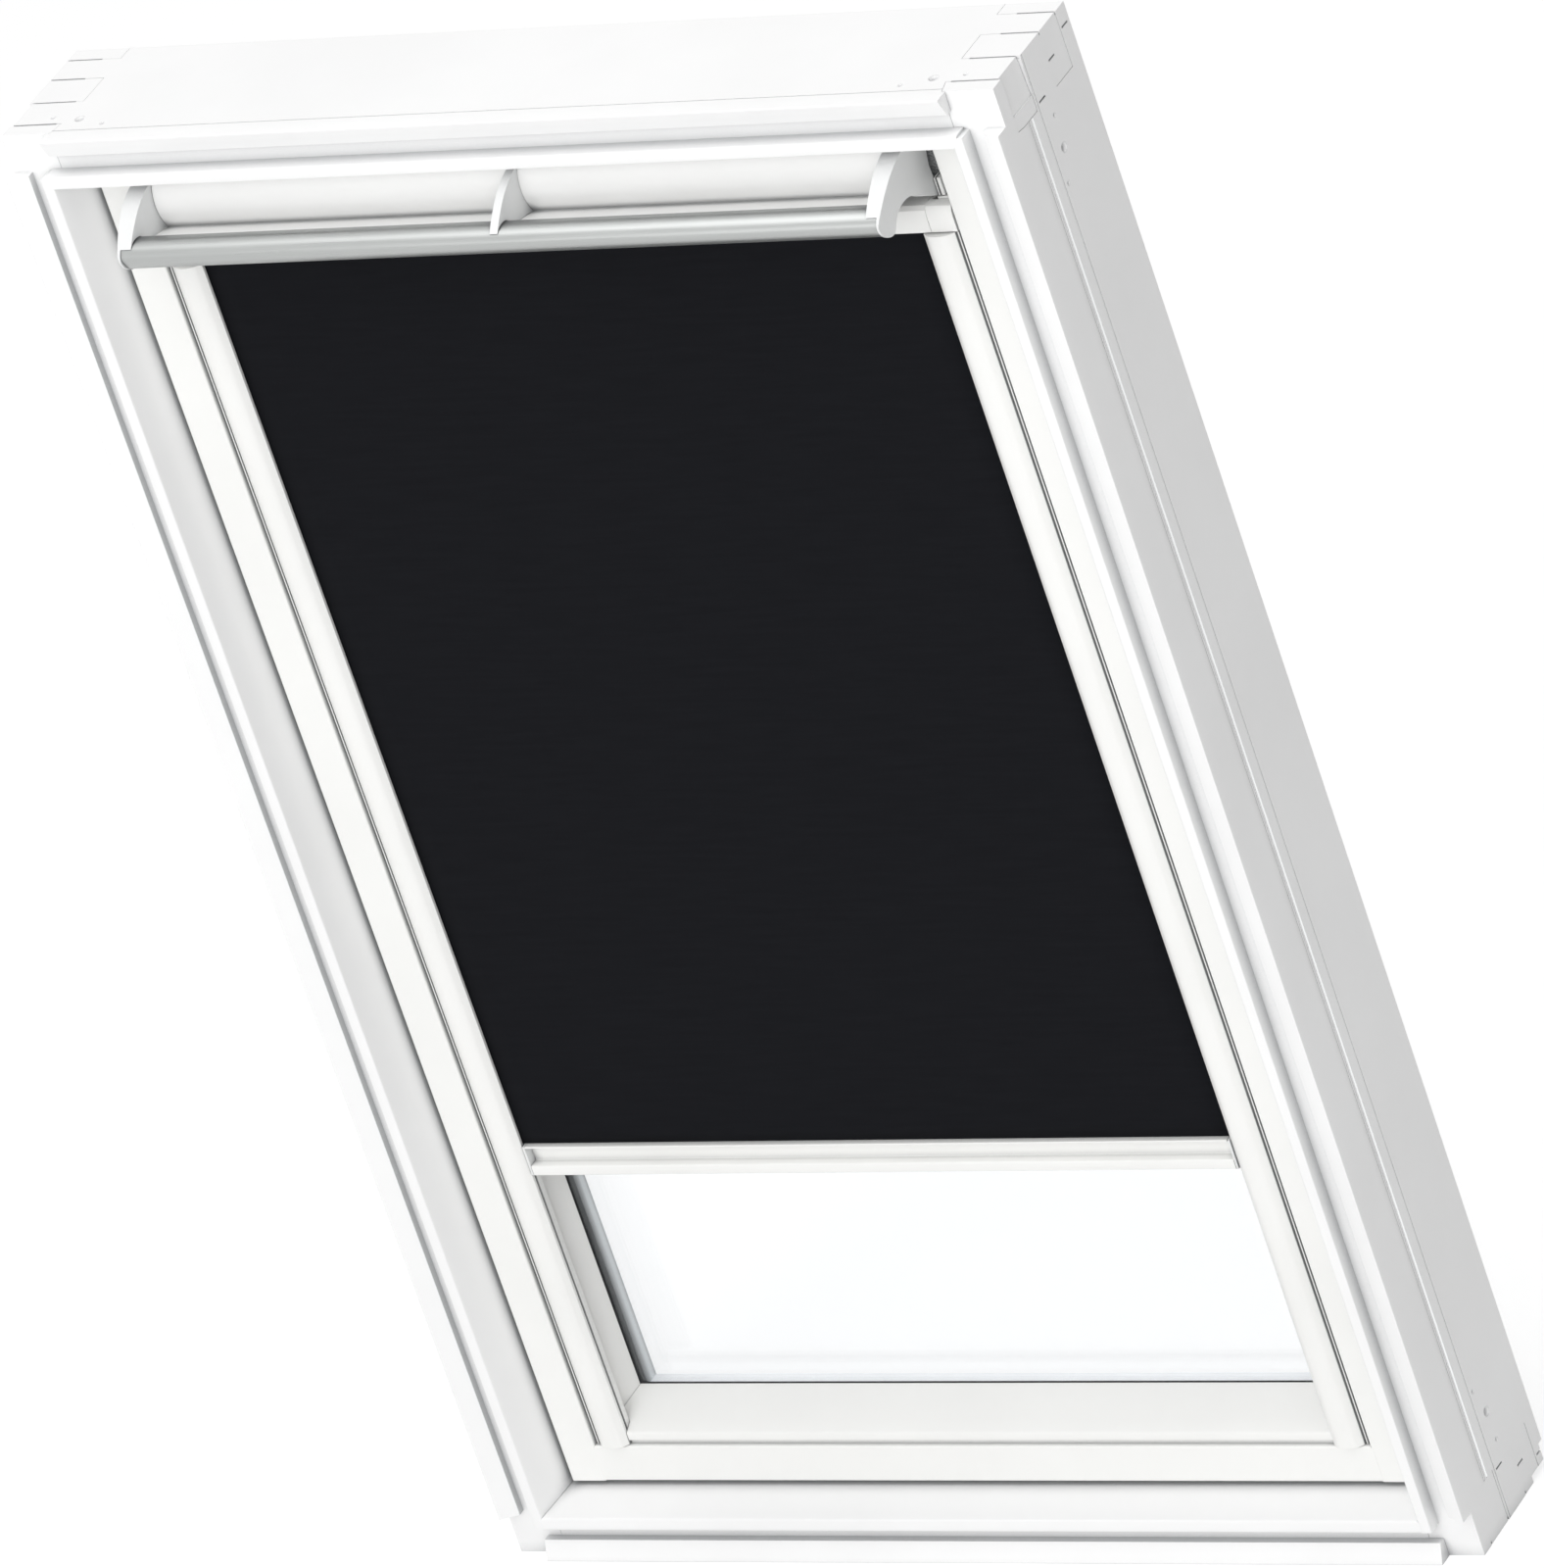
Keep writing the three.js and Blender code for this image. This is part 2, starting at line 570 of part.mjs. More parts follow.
function addFrame() {
  const sideBlocks = joinAll(["left", "right"].map(
    (name) => member(sideOutline(SEAT_GAP), FRAME_PLACES[name], OVERRUN),
  ));
  const railBlocks = joinAll(["top", "bottom"].map(
    (name) => member(railOutline(SEAT_GAP), FRAME_PLACES[name], OVERRUN),
  ));
  const railFingers = railBlocks.intersect(fingerSlabs(false));

  // The side lips stop short of the ends, where the corner blocks lie back at the groove floor
  const lipStops = (depth) => [
    box(
      -FRAME_WIDTH, FRAME_WIDTH, -OVERRUN, depth,
      FRAME_HEIGHT - TOP_SIDE_LIP_STOP, FRAME_HEIGHT + 2 * OVERRUN,
    ),
    box(-FRAME_WIDTH, FRAME_WIDTH, -OVERRUN, depth, -2 * OVERRUN, GROOVE_END),
  ];
  const sideFingers = cutAll(
    sideBlocks.intersect(fingerSlabs(true)), lipStops(GROOVE_DEPTH - SEAT_GAP),
  );
  const outerLipStop = beyond(
    HALF_FRAME - GROOVE_END, -OVERRUN, GROOVE_DEPTH, -OVERRUN, BOTTOM_SIDE_LIP_STOP,
  );
  const marks = cornerMarks();
  for (const name of ["left", "right"]) {
    const place = FRAME_PLACES[name];
    const side = cutAll(member(sideOutline(0), place), [
      railFingers, ...lipStops(GROOVE_DEPTH), outerLipStop, ...marks,
      ...cornerHoles(SIDE_HOLES, place, holeDepth),
    ]);
    addNode(`frame_side_${name}`, side, MATERIALS.frame);
  }

  const flushEnds = beyond(
    HALF_FRAME - FINGER_SETBACK, -OVERRUN, FRAME_DEPTH + OVERRUN, -OVERRUN, FRAME_HEIGHT + OVERRUN,
  );
  const recess = FRONT_FINGER_RECESS;
  const recessStart = FRAME_HEIGHT - recess.height;
  const rightRecess = alongY(outline([
    [HALF_FRAME - recess.bottom, recessStart],
    [HALF_FRAME + OVERRUN, recessStart],
    [HALF_FRAME + OVERRUN, FRAME_HEIGHT + OVERRUN],
    [HALF_FRAME - recess.top, FRAME_HEIGHT + OVERRUN],
    [HALF_FRAME - recess.top, FRAME_HEIGHT],
  ]), FINGER_ENDS[0] - OVERRUN, FINGER_ENDS[1] + SEAT_GAP);
  const frontFingerEnds = rightRecess.add(mirrorX(rightRecess));
  const innerLipEnds = beyond(
    HALF_FRAME - GROOVE_END - SIDE_INNER_LIP / 2, -OVERRUN, GROOVE_DEPTH,
    GROOVE_END - SEAT_GAP, FRAME_HEIGHT - GROOVE_END + SEAT_GAP,
  );
  const outerLipEnds = {
    top: beyond(
      HALF_FRAME - TOP_LIP_STOP, -OVERRUN, GROOVE_DEPTH, FRAME_HEIGHT - GROOVE_END, FRAME_HEIGHT + OVERRUN,
    ),
    bottom: beyond(HALF_FRAME - BOTTOM_LIP_STOP, -OVERRUN, GROOVE_DEPTH, -OVERRUN, GROOVE_END),
  };
  for (const name of ["top", "bottom"]) {
    const place = FRAME_PLACES[name];
    const rail = cutAll(member(railOutline(0), place), [
      sideFingers, outerLipEnds[name], innerLipEnds, flushEnds, frontFingerEnds, ...marks,
      ...cornerHoles(RAIL_HOLES, place, holeDepth),
    ]);
    addNode(`frame_${name}`, rail, MATERIALS.frame);
  }
}

// A flat rectangular ring, and the outside cover sheets of the frame
function rectRing(outerHalf, outerBottom, outerTop, width, front, back, endWidth = width) {
  const outer = box(-outerHalf, outerHalf, front, back, outerBottom, outerTop);
  const inner = box(
    width - outerHalf, outerHalf - width, front - OVERRUN, back + OVERRUN,
    outerBottom + endWidth, outerTop - endWidth,
  );
  return outer.subtract(inner);
}

function addFrameTrim() {
  const seal = rectRing(
    HALF_FRAME - SIDE_WALL - SEAT_GAP, RAIL_WALL + SEAT_GAP, FRAME_HEIGHT - RAIL_WALL - SEAT_GAP,
    SEAL_THICKNESS, SEAL_FRONT, SEAL_FRONT + SEAL_WIDTH,
  );
  addNode("frame_seal", seal, MATERIALS.rubber);

  const base = FRAME_DEPTH + SEAT_GAP;
  const inner = FRAME_COVER_INSET + FRAME_COVER_WIDTH;
  const cover = outline([
    [FRAME_COVER_INSET, base],
    [FRAME_COVER_INSET + SHEET, base],
    [FRAME_COVER_INSET + FRAME_COVER_TAPER + SHEET, base + FRAME_COVER_HEIGHT - SHEET],
    [inner - SHEET, base + FRAME_COVER_HEIGHT - SHEET],
    [inner - SHEET, base],
    [inner, base],
    [inner, base + FRAME_COVER_HEIGHT],
    [FRAME_COVER_INSET + FRAME_COVER_TAPER, base + FRAME_COVER_HEIGHT],
  ]);
  const solidCover = (place) => member(outline([
    [-OVERRUN, base - OVERRUN],
    [inner + SEAT_GAP, base - OVERRUN],
    [inner + SEAT_GAP, base + FRAME_COVER_HEIGHT + OVERRUN],
    [-OVERRUN, base + FRAME_COVER_HEIGHT + OVERRUN],
  ]), place, OVERRUN);
  const trimEnds = (name) => {
    const start = FRAME_COVER_INSET;
    return box(
      start - HALF_FRAME, HALF_FRAME - start, base - OVERRUN, base + FRAME_COVER_HEIGHT + OVERRUN,
      start, FRAME_HEIGHT - start,
    );
  };
  for (const name of ["top", "bottom"]) {
    addNode(
      `frame_cover_${name}`, member(cover, FRAME_PLACES[name]).intersect(trimEnds(name)), MATERIALS.cover,
    );
  }
  for (const name of ["left", "right"]) {
    const solid = cutAll(member(cover, FRAME_PLACES[name]), [
      solidCover(FRAME_PLACES.top), solidCover(FRAME_PLACES.bottom),
    ]);
    addNode(`frame_cover_${name}`, solid, MATERIALS.cover);
  }
}

// Sash: moulded stiles and rails around the glass seat
const SASH_PLACES = ring(SASH_HALF, SASH_BOTTOM, SASH_TOP);

function stileOutline(grow = 0) {
  return outline([
    [-grow, REVEAL_DEPTH, FACE_ROUND],
    [STILE_FACE_WIDTH + grow, REVEAL_DEPTH, FACE_ROUND],
    [STILE_FACE_WIDTH + grow, REBATE_FACE],
    [STILE_SHOULDER + grow, REBATE_FACE],
    [GLASS_SIGHT_EDGE + grow, GLASS_SEAT],
    [REBATE_EDGE + grow, GLASS_SEAT],
    [REBATE_EDGE + grow, SASH_BACK],
    [-grow, SASH_BACK],
  ]);
}

function bottomRailOutline() {
  const beadFront = REVEAL_DEPTH + STEP_DEPTH;
  return outline([
    [0, REVEAL_DEPTH, FACE_ROUND],
    [RAIL_FACE_WIDTH, REVEAL_DEPTH, FACE_ROUND],
    [RAIL_FACE_WIDTH, beadFront + STEP_DEPTH],
    [RAIL_FACE_WIDTH + STEP_HEIGHT, beadFront + STEP_DEPTH],
    [RAIL_FACE_WIDTH + STEP_HEIGHT, beadFront, EDGE_ROUND],
    [slopeAt(beadFront + EDGE_ROUND), beadFront, EDGE_ROUND],
    [GLASS_SIGHT_EDGE, GLASS_SEAT],
    [REBATE_EDGE, GLASS_SEAT],
    [REBATE_EDGE, SASH_BACK],
    [0, SASH_BACK],
  ]);
}

function topRailOutline() {
  return outline([
    [0, TOP_RAIL_FACE],
    [TOP_RAIL_FACE_HEIGHT, TOP_RAIL_FACE],
    [GLASS_SIGHT_EDGE, GLASS_SEAT],
    [REBATE_EDGE, GLASS_SEAT],
    [REBATE_EDGE, SASH_BACK],
    [0, SASH_BACK],
  ]);
}

function latchPocket(grow) {
  return box(
    -LATCH_CASE_LENGTH / 2 - grow, LATCH_CASE_LENGTH / 2 + grow,
    LATCH_PLACE - LATCH_CASE_DEPTH / 2 - grow, LATCH_PLACE + LATCH_CASE_DEPTH / 2 + grow,
    SASH_TOP - LATCH_CASE_HEIGHT - grow, SASH_TOP + grow,
  );
}

function addSash() {
  const stiles = joinAll([
    ...["left", "right"].map((name) => member(stileOutline(SEAT_GAP), SASH_PLACES[name], OVERRUN)),
    beyond(STILE_INNER_FACE + FACE_ROUND, 0, 2 * FRAME_DEPTH, 0, FRAME_HEIGHT),
  ]);
  const boreEnd = SASH_HALF - BUSH_LENGTH - 2 * SEAT_GAP;
  const ventNotch = box(
    -STILE_INNER_FACE, STILE_INNER_FACE, 0, TOP_RAIL_FACE, VENT_SILL, SASH_TOP + OVERRUN,
  );
  for (const [name, side] of [["left", -1], ["right", 1]]) {
    const from = Math.min(side * boreEnd, side * (SASH_HALF + OVERRUN));
    const to = Math.max(side * boreEnd, side * (SASH_HALF + OVERRUN));
    const bore = rod("x", BUSH_OUTER_RADIUS + SEAT_GAP, from, to, PIVOT_DEPTH, PIVOT_HEIGHT);
    addNode(
      `sash_side_${name}`,
      cutAll(member(stileOutline(), SASH_PLACES[name]), [bore, ventNotch]),
      MATERIALS.sash,
    );
  }
  const guideNotch = beyond(
    GUIDE_INNER - SEAT_GAP, REVEAL_DEPTH - OVERRUN, REBATE_FACE, GUIDE_FOOT - SEAT_GAP / 2, PIVOT_HEIGHT,
  );
  addNode(
    "sash_bottom",
    cutAll(member(bottomRailOutline(), SASH_PLACES.bottom), [stiles, guideNotch]),
    MATERIALS.sash,
  );
  addNode(
    "sash_top",
    cutAll(member(topRailOutline(), SASH_PLACES.top), [stiles, latchPocket(SEAT_GAP)]),
    MATERIALS.sash,
  );
}

// Glass unit, its seals and the sash's outside cover sheets
function addGlass() {
  const halfPane = SASH_HALF - PANE_INSET;
  const paneBottom = SASH_BOTTOM + PANE_INSET;
  const paneTop = SASH_TOP - PANE_INSET;
  const pane = (front) => box(
    -halfPane, halfPane, front, front + PANE_THICKNESS, paneBottom, paneTop,
  );
  addNode("glass_inner", pane(PANE_FRONT), MATERIALS.glass);
  addNode("glass_outer", pane(OUTER_PANE_FRONT), MATERIALS.glass);
  const gasketWidth = GLASS_SIGHT_EDGE + GASKET_SHOW - PANE_INSET;
  addNode("glass_gasket", rectRing(
    halfPane, paneBottom, paneTop, gasketWidth,
    GLASS_SEAT + SEAT_GAP, GLASS_SEAT + SEAT_GAP + GASKET_THICKNESS,
  ), MATERIALS.rubber);
  addNode("glass_spacer", rectRing(
    halfPane - SPACER_INSET, paneBottom + SPACER_INSET, paneTop - SPACER_INSET, SPACER_SIDE_WIDTH,
    PANE_FRONT + PANE_THICKNESS + SEAT_GAP, OUTER_PANE_FRONT - SEAT_GAP, SPACER_END_WIDTH,
  ), MATERIALS.spacer);

  const base = SASH_BACK + SEAT_GAP;
  const noseBase = OUTER_PANE_BACK + SEAT_GAP;
  const cover = outline([
    [SASH_COVER_EDGE, base],
    [SASH_COVER_FLAT, base],
    [SASH_COVER_NOSE - SASH_COVER_THICK, noseBase],
    [SASH_COVER_NOSE, noseBase],
    [SASH_COVER_NOSE, noseBase + SASH_COVER_THICK],
    [SASH_COVER_FLAT + SASH_COVER_THICK, base + SASH_COVER_THICK],
    [SASH_COVER_EDGE, base + SASH_COVER_THICK],
  ]);
  const sideBlock = joinAll(["left", "right"].map((name) => member(outline([
    [-OVERRUN, noseBase - OVERRUN],
    [SASH_COVER_NOSE + SEAT_GAP, noseBase - OVERRUN],
    [SASH_COVER_NOSE + SEAT_GAP, base + SASH_COVER_THICK + OVERRUN],
    [-OVERRUN, base + SASH_COVER_THICK + OVERRUN],
  ]), SASH_PLACES[name], OVERRUN)));
  const overRails = box(
    -SASH_HALF, SASH_HALF, base - SEAT_GAP / 2, base + FRAME_DEPTH,
    SASH_BOTTOM + SASH_COVER_EDGE, SASH_TOP - SASH_COVER_EDGE,
  );
  const betweenRails = box(
    -SASH_HALF, SASH_HALF, 0, base,
    SASH_BOTTOM + REBATE_EDGE + SEAT_GAP, SASH_TOP - REBATE_EDGE - SEAT_GAP,
  );
  for (const name of ["left", "right"]) {
    const solid = member(cover, SASH_PLACES[name]).intersect(overRails.add(betweenRails));
    addNode(`sash_cover_${name}`, solid, MATERIALS.cover);
  }
  const sill = outline([
    [SASH_COVER_EDGE, base],
    [SASH_COVER_SILL, base],
    [SASH_COVER_SILL, base + SASH_COVER_THICK],
    [SASH_COVER_EDGE, base + SASH_COVER_THICK],
  ]);
  for (const [name, shape] of [["top", cover], ["bottom", sill]]) {
    addNode(`sash_cover_${name}`, member(shape, SASH_PLACES[name]).subtract(sideBlock), MATERIALS.cover);
  }
}

// Centre pivots: a plate with a pin on the frame, and a bush in the sash
function addPivots() {
  const wall = HALF_FRAME - SIDE_WALL - SEAT_GAP;
  const plateShape = outline([
    [PIVOT_DEPTH - PLATE_WIDTH / 2, PIVOT_HEIGHT - PLATE_HEIGHT / 2, PLATE_ROUND],
    [PIVOT_DEPTH + PLATE_WIDTH / 2, PIVOT_HEIGHT - PLATE_HEIGHT / 2, PLATE_ROUND],
    [PIVOT_DEPTH + PLATE_WIDTH / 2, PIVOT_HEIGHT + PLATE_HEIGHT / 2, PLATE_ROUND],
    [PIVOT_DEPTH - PLATE_WIDTH / 2, PIVOT_HEIGHT + PLATE_HEIGHT / 2, PLATE_ROUND],
  ]);
  const plate = alongX(plateShape, wall - PLATE_THICKNESS, wall);
  const screwHoles = [-1, 1].map((end) => rod(
    "x", PLATE_SCREW_RADIUS, wall - OVERRUN, wall + OVERRUN,
    PIVOT_DEPTH, PIVOT_HEIGHT + end * PLATE_SCREW_SPACING / 2, SMALL_CIRCLE_STEPS,
  ));
  const pin = rod(
    "x", PIN_RADIUS, wall - PLATE_THICKNESS - PIN_LENGTH, wall - PLATE_THICKNESS / 2,
    PIVOT_DEPTH, PIVOT_HEIGHT,
  );
  const rightPlate = cutAll(plate, screwHoles).add(pin);
  const bushFace = SASH_HALF - SEAT_GAP;
  const rightBush = rod(
    "x", BUSH_OUTER_RADIUS, bushFace - BUSH_LENGTH, bushFace, PIVOT_DEPTH, PIVOT_HEIGHT,
  ).subtract(rod(
    "x", PIN_RADIUS + SEAT_GAP, bushFace - BUSH_LENGTH - OVERRUN, bushFace + OVERRUN,
    PIVOT_DEPTH, PIVOT_HEIGHT,
  ));
  addNode("pivot_plate_right", rightPlate, MATERIALS.steel);
  addNode("pivot_plate_left", mirrorX(rightPlate), MATERIALS.steel);
  addNode("pivot_bush_right", rightBush, MATERIALS.plastic);
  addNode("pivot_bush_left", mirrorX(rightBush), MATERIALS.plastic);
}

// Vent flap with its control bar and brackets, turning on pins beside the outer brackets
function smoothOutline(points, originA, originB) {
  const place = ([a, b]) => new THREE.Vector3(originA + a, originB + b, 0);
  const path = new THREE.CatmullRomCurve3(points.map(place), true);
  const around = path.getPoints(2 * points.length).slice(1);
  return new THREE.Shape(around.map((point) => new THREE.Vector2(point.x, point.y)));
}

// Points along a smooth open path of depth and height from the bar's hinge, set out by a distance
function besideCurve(points, out) {
  const place = ([a, b]) => new THREE.Vector3(BAR_HINGE_DEPTH + a, BAR_HINGE_HEIGHT + b, 0);
  const path = new THREE.CatmullRomCurve3(points.map(place));
  const steps = 2 * points.length;
  return Array.from({ length: steps + 1 }, (_, i) => {
    const here = path.getPoint(i / steps);
    const way = path.getTangent(i / steps);
    return [here.x + out * way.y, here.y - out * way.x];
  });
}

// The flap's outline with its lip; as a cutter it is grown in front and filled in behind and below
function flapOutline(grow, filled) {
  const crest = BAR_HINGE_HEIGHT + FLAP_CREST_RISE;
  const lipTop = BAR_HINGE_HEIGHT + FLAP_LIP_RISE;
  const bulge = (front, top, bottom) => Array.from({ length: FLAP_STEPS + 1 }, (_, i) => {
    const height = top + (bottom - top) * i / FLAP_STEPS;
    return [front + (height - crest) ** 2 / (2 * FLAP_RADIUS), height];
  });
  const face = bulge(FLAP_FRONT - grow, FLAP_TOP + grow, FLAP_BOTTOM + grow);
  const rear = bulge(FLAP_FRONT + FLAP_WALL, FLAP_TOP - FLAP_WALL, FLAP_BOTTOM).reverse();
  const back = FLAP_FRONT + FLAP_UPPER_REACH;
  if (filled > 0) {
    return outline([
      ...face, [FLAP_LIP_FRONT - grow, lipTop + grow], [FLAP_LIP_FRONT - grow, BLIND_BOX_BOTTOM],
      [filled, BLIND_BOX_BOTTOM], [filled, FLAP_TOP + grow],
    ]);
  }
  return outline([
    ...face,
    [FLAP_LIP_FRONT, lipTop, FLAP_LIP_ROUND],
    [FLAP_LIP_FRONT, lipTop - FLAP_WALL, FLAP_LIP_ROUND],
    [rear[0][0], FLAP_BOTTOM - FLAP_WALL],
    ...rear,
    [back, FLAP_TOP - FLAP_WALL],
    [back, FLAP_TOP],
  ]);
}

function addVentBar() {
  // Grip bar: a rounded top and nose, open along its underside
  const barCurve = [...BAR_TOP_CURVE, ...BAR_NOSE_CURVE];
  const barShape = outline([...besideCurve(barCurve, 0), ...besideCurve(barCurve, -BAR_WALL).reverse()]);
  addNode("control_bar", alongX(barShape, -BAR_HALF_LENGTH, BAR_HALF_LENGTH), MATERIALS.bar);

  // The arms rest on the bar's top and are cut away in front of it and below it
  const seatTop = besideCurve(BAR_TOP_CURVE, SEAT_GAP);
  const seatEnd = seatTop.at(-1)[1];
  const seatBottom = BAR_HINGE_HEIGHT - 2 * OVERRUN;
  const seatShape = outline([
    ...seatTop, [BAR_FRONT - 2 * OVERRUN, seatEnd], [BAR_FRONT - 2 * OVERRUN, seatBottom],
    [BAR_BACK + SEAT_GAP, seatBottom],
  ]);
  const barSeat = alongX(seatShape, BRACKET_INNER - OVERRUN, BRACKET_OUTER - BRACKET_CHEEK);
  const pinBore = rod(
    "x", HINGE_PIN_RADIUS + SEAT_GAP, BRACKET_INNER - OVERRUN, BRACKET_INNER + HINGE_PIN_REACH + RUN_GAP,
    BAR_HINGE_DEPTH, BAR_HINGE_HEIGHT,
  );
  // The outer arms widen outwards above the hinge
  const flareStart = BAR_HINGE_HEIGHT + BRACKET_FLARE_RISE;
  const flareEdge = BRACKET_OUTER + BRACKET_FLARE;
  const besideFlare = alongY(outline([
    [BRACKET_OUTER, BLIND_BOX_BOTTOM],
    [BRACKET_OUTER, flareStart],
    [flareEdge, FLAP_TOP],
    [flareEdge + OVERRUN, FLAP_TOP],
    [flareEdge + OVERRUN, BLIND_BOX_BOTTOM],
  ]), BAR_FRONT - FRAME_DEPTH, FRAME_DEPTH);
  const armShape = smoothOutline(BRACKET_CURVE, BAR_HINGE_DEPTH, BAR_HINGE_HEIGHT);
  const arm = alongX(armShape, BRACKET_INNER, flareEdge);
  const rightBracket = cutAll(arm, [besideFlare, barSeat, pinBore]);
  addNode("bracket_right", rightBracket, MATERIALS.bracket);
  addNode("bracket_left", mirrorX(rightBracket), MATERIALS.bracket);

  // The middle arm ends on the front of the flap
  const middleArm = alongX(armShape, -MIDDLE_BRACKET_WIDTH / 2, MIDDLE_BRACKET_WIDTH / 2);
  const middleSeat = alongX(seatShape, -MIDDLE_BRACKET_WIDTH, MIDDLE_BRACKET_WIDTH);
  const behindFlap = alongX(
    flapOutline(SEAT_GAP, FRAME_DEPTH), -MIDDLE_BRACKET_WIDTH, MIDDLE_BRACKET_WIDTH,
  );
  addNode("bracket_middle", cutAll(middleArm, [middleSeat, behindFlap]), MATERIALS.bracket);
  addNode("vent_flap", alongX(flapOutline(0, 0), -FLAP_HALF_LENGTH, FLAP_HALF_LENGTH), MATERIALS.flap);
}

// Hinge lugs of the vent bar on the sash's top rail, and the filter between them
function lugSolid(grow) {
  const outer = BRACKET_INNER - RUN_GAP;
  return alongX(outline([
    [BAR_HINGE_DEPTH - LUG_RADIUS - grow, BAR_HINGE_HEIGHT - LUG_RADIUS - grow, LUG_RADIUS],
    [TOP_RAIL_FACE - SEAT_GAP + grow, BAR_HINGE_HEIGHT - LUG_RADIUS - grow],
    [TOP_RAIL_FACE - SEAT_GAP + grow, BAR_HINGE_HEIGHT + 2 * LUG_RADIUS + grow],
    [TOP_RAIL_FACE - LUG_RADIUS, BAR_HINGE_HEIGHT + 2 * LUG_RADIUS + grow],
    [BAR_HINGE_DEPTH - LUG_RADIUS - grow, BAR_HINGE_HEIGHT + LUG_RADIUS + grow, LUG_RADIUS],
  ]), outer - LUG_WIDTH - grow, outer + grow);
}

function addLugsAndFilter() {
  const pin = rod(
    "x", HINGE_PIN_RADIUS, BRACKET_INNER - LUG_WIDTH, BRACKET_INNER + HINGE_PIN_REACH,
    BAR_HINGE_DEPTH, BAR_HINGE_HEIGHT, SMALL_CIRCLE_STEPS,
  );
  const rightLug = lugSolid(0).add(pin);
  addNode("hinge_lug_right", rightLug, MATERIALS.steel);
  addNode("hinge_lug_left", mirrorX(rightLug), MATERIALS.steel);
  const cutter = lugSolid(SEAT_GAP);
  const filter = box(
    FILTER_END_GAP - STILE_INNER_FACE, STILE_INNER_FACE - FILTER_END_GAP,
    FILTER_FRONT, TOP_RAIL_FACE - SEAT_GAP, VENT_SILL + SEAT_GAP, SASH_TOP - SEAT_GAP,
  );
  addNode("vent_filter", cutAll(filter, [cutter, mirrorX(cutter)]), MATERIALS.filter);
}

// Latch: a case let into the sash top, its bolt, and the keeper on the frame
function addLatch() {
  const boltHalf = BOLT_LENGTH / 2;
  const boltHalfDepth = BOLT_THICKNESS / 2;
  const boltBottom = SASH_TOP + BOLT_NOSE - BOLT_TALL;
  const well = box(
    -boltHalf - RUN_GAP, boltHalf + RUN_GAP,
    LATCH_PLACE - boltHalfDepth - RUN_GAP, LATCH_PLACE + boltHalfDepth + RUN_GAP,
    SASH_TOP - LATCH_CASE_HEIGHT + LATCH_CASE_WALL, SASH_TOP + OVERRUN,
  );
  addNode("latch_case", latchPocket(0).subtract(well), MATERIALS.steel);
  const boltTop = SASH_TOP + BOLT_NOSE;
  const bolt = alongX(outline([
    [LATCH_PLACE - boltHalfDepth, boltBottom],
    [LATCH_PLACE + boltHalfDepth, boltBottom],
    [LATCH_PLACE + boltHalfDepth, boltTop - BOLT_BEVEL],
    [LATCH_PLACE + boltHalfDepth - BOLT_BEVEL, boltTop],
    [LATCH_PLACE - boltHalfDepth + BOLT_BEVEL, boltTop],
    [LATCH_PLACE - boltHalfDepth, boltTop - BOLT_BEVEL],
  ]), -boltHalf, boltHalf);
  addNode("latch_bolt", bolt, MATERIALS.steel);
  const frameWall = FRAME_HEIGHT - RAIL_WALL - SEAT_GAP;
  addNode("latch_keeper", box(
    -KEEPER_LENGTH / 2, KEEPER_LENGTH / 2,
    LATCH_PLACE - KEEPER_WIDTH / 2, LATCH_PLACE + KEEPER_WIDTH / 2 - RUN_GAP,
    frameWall - KEEPER_THICKNESS, frameWall,
  ), MATERIALS.steel);
}

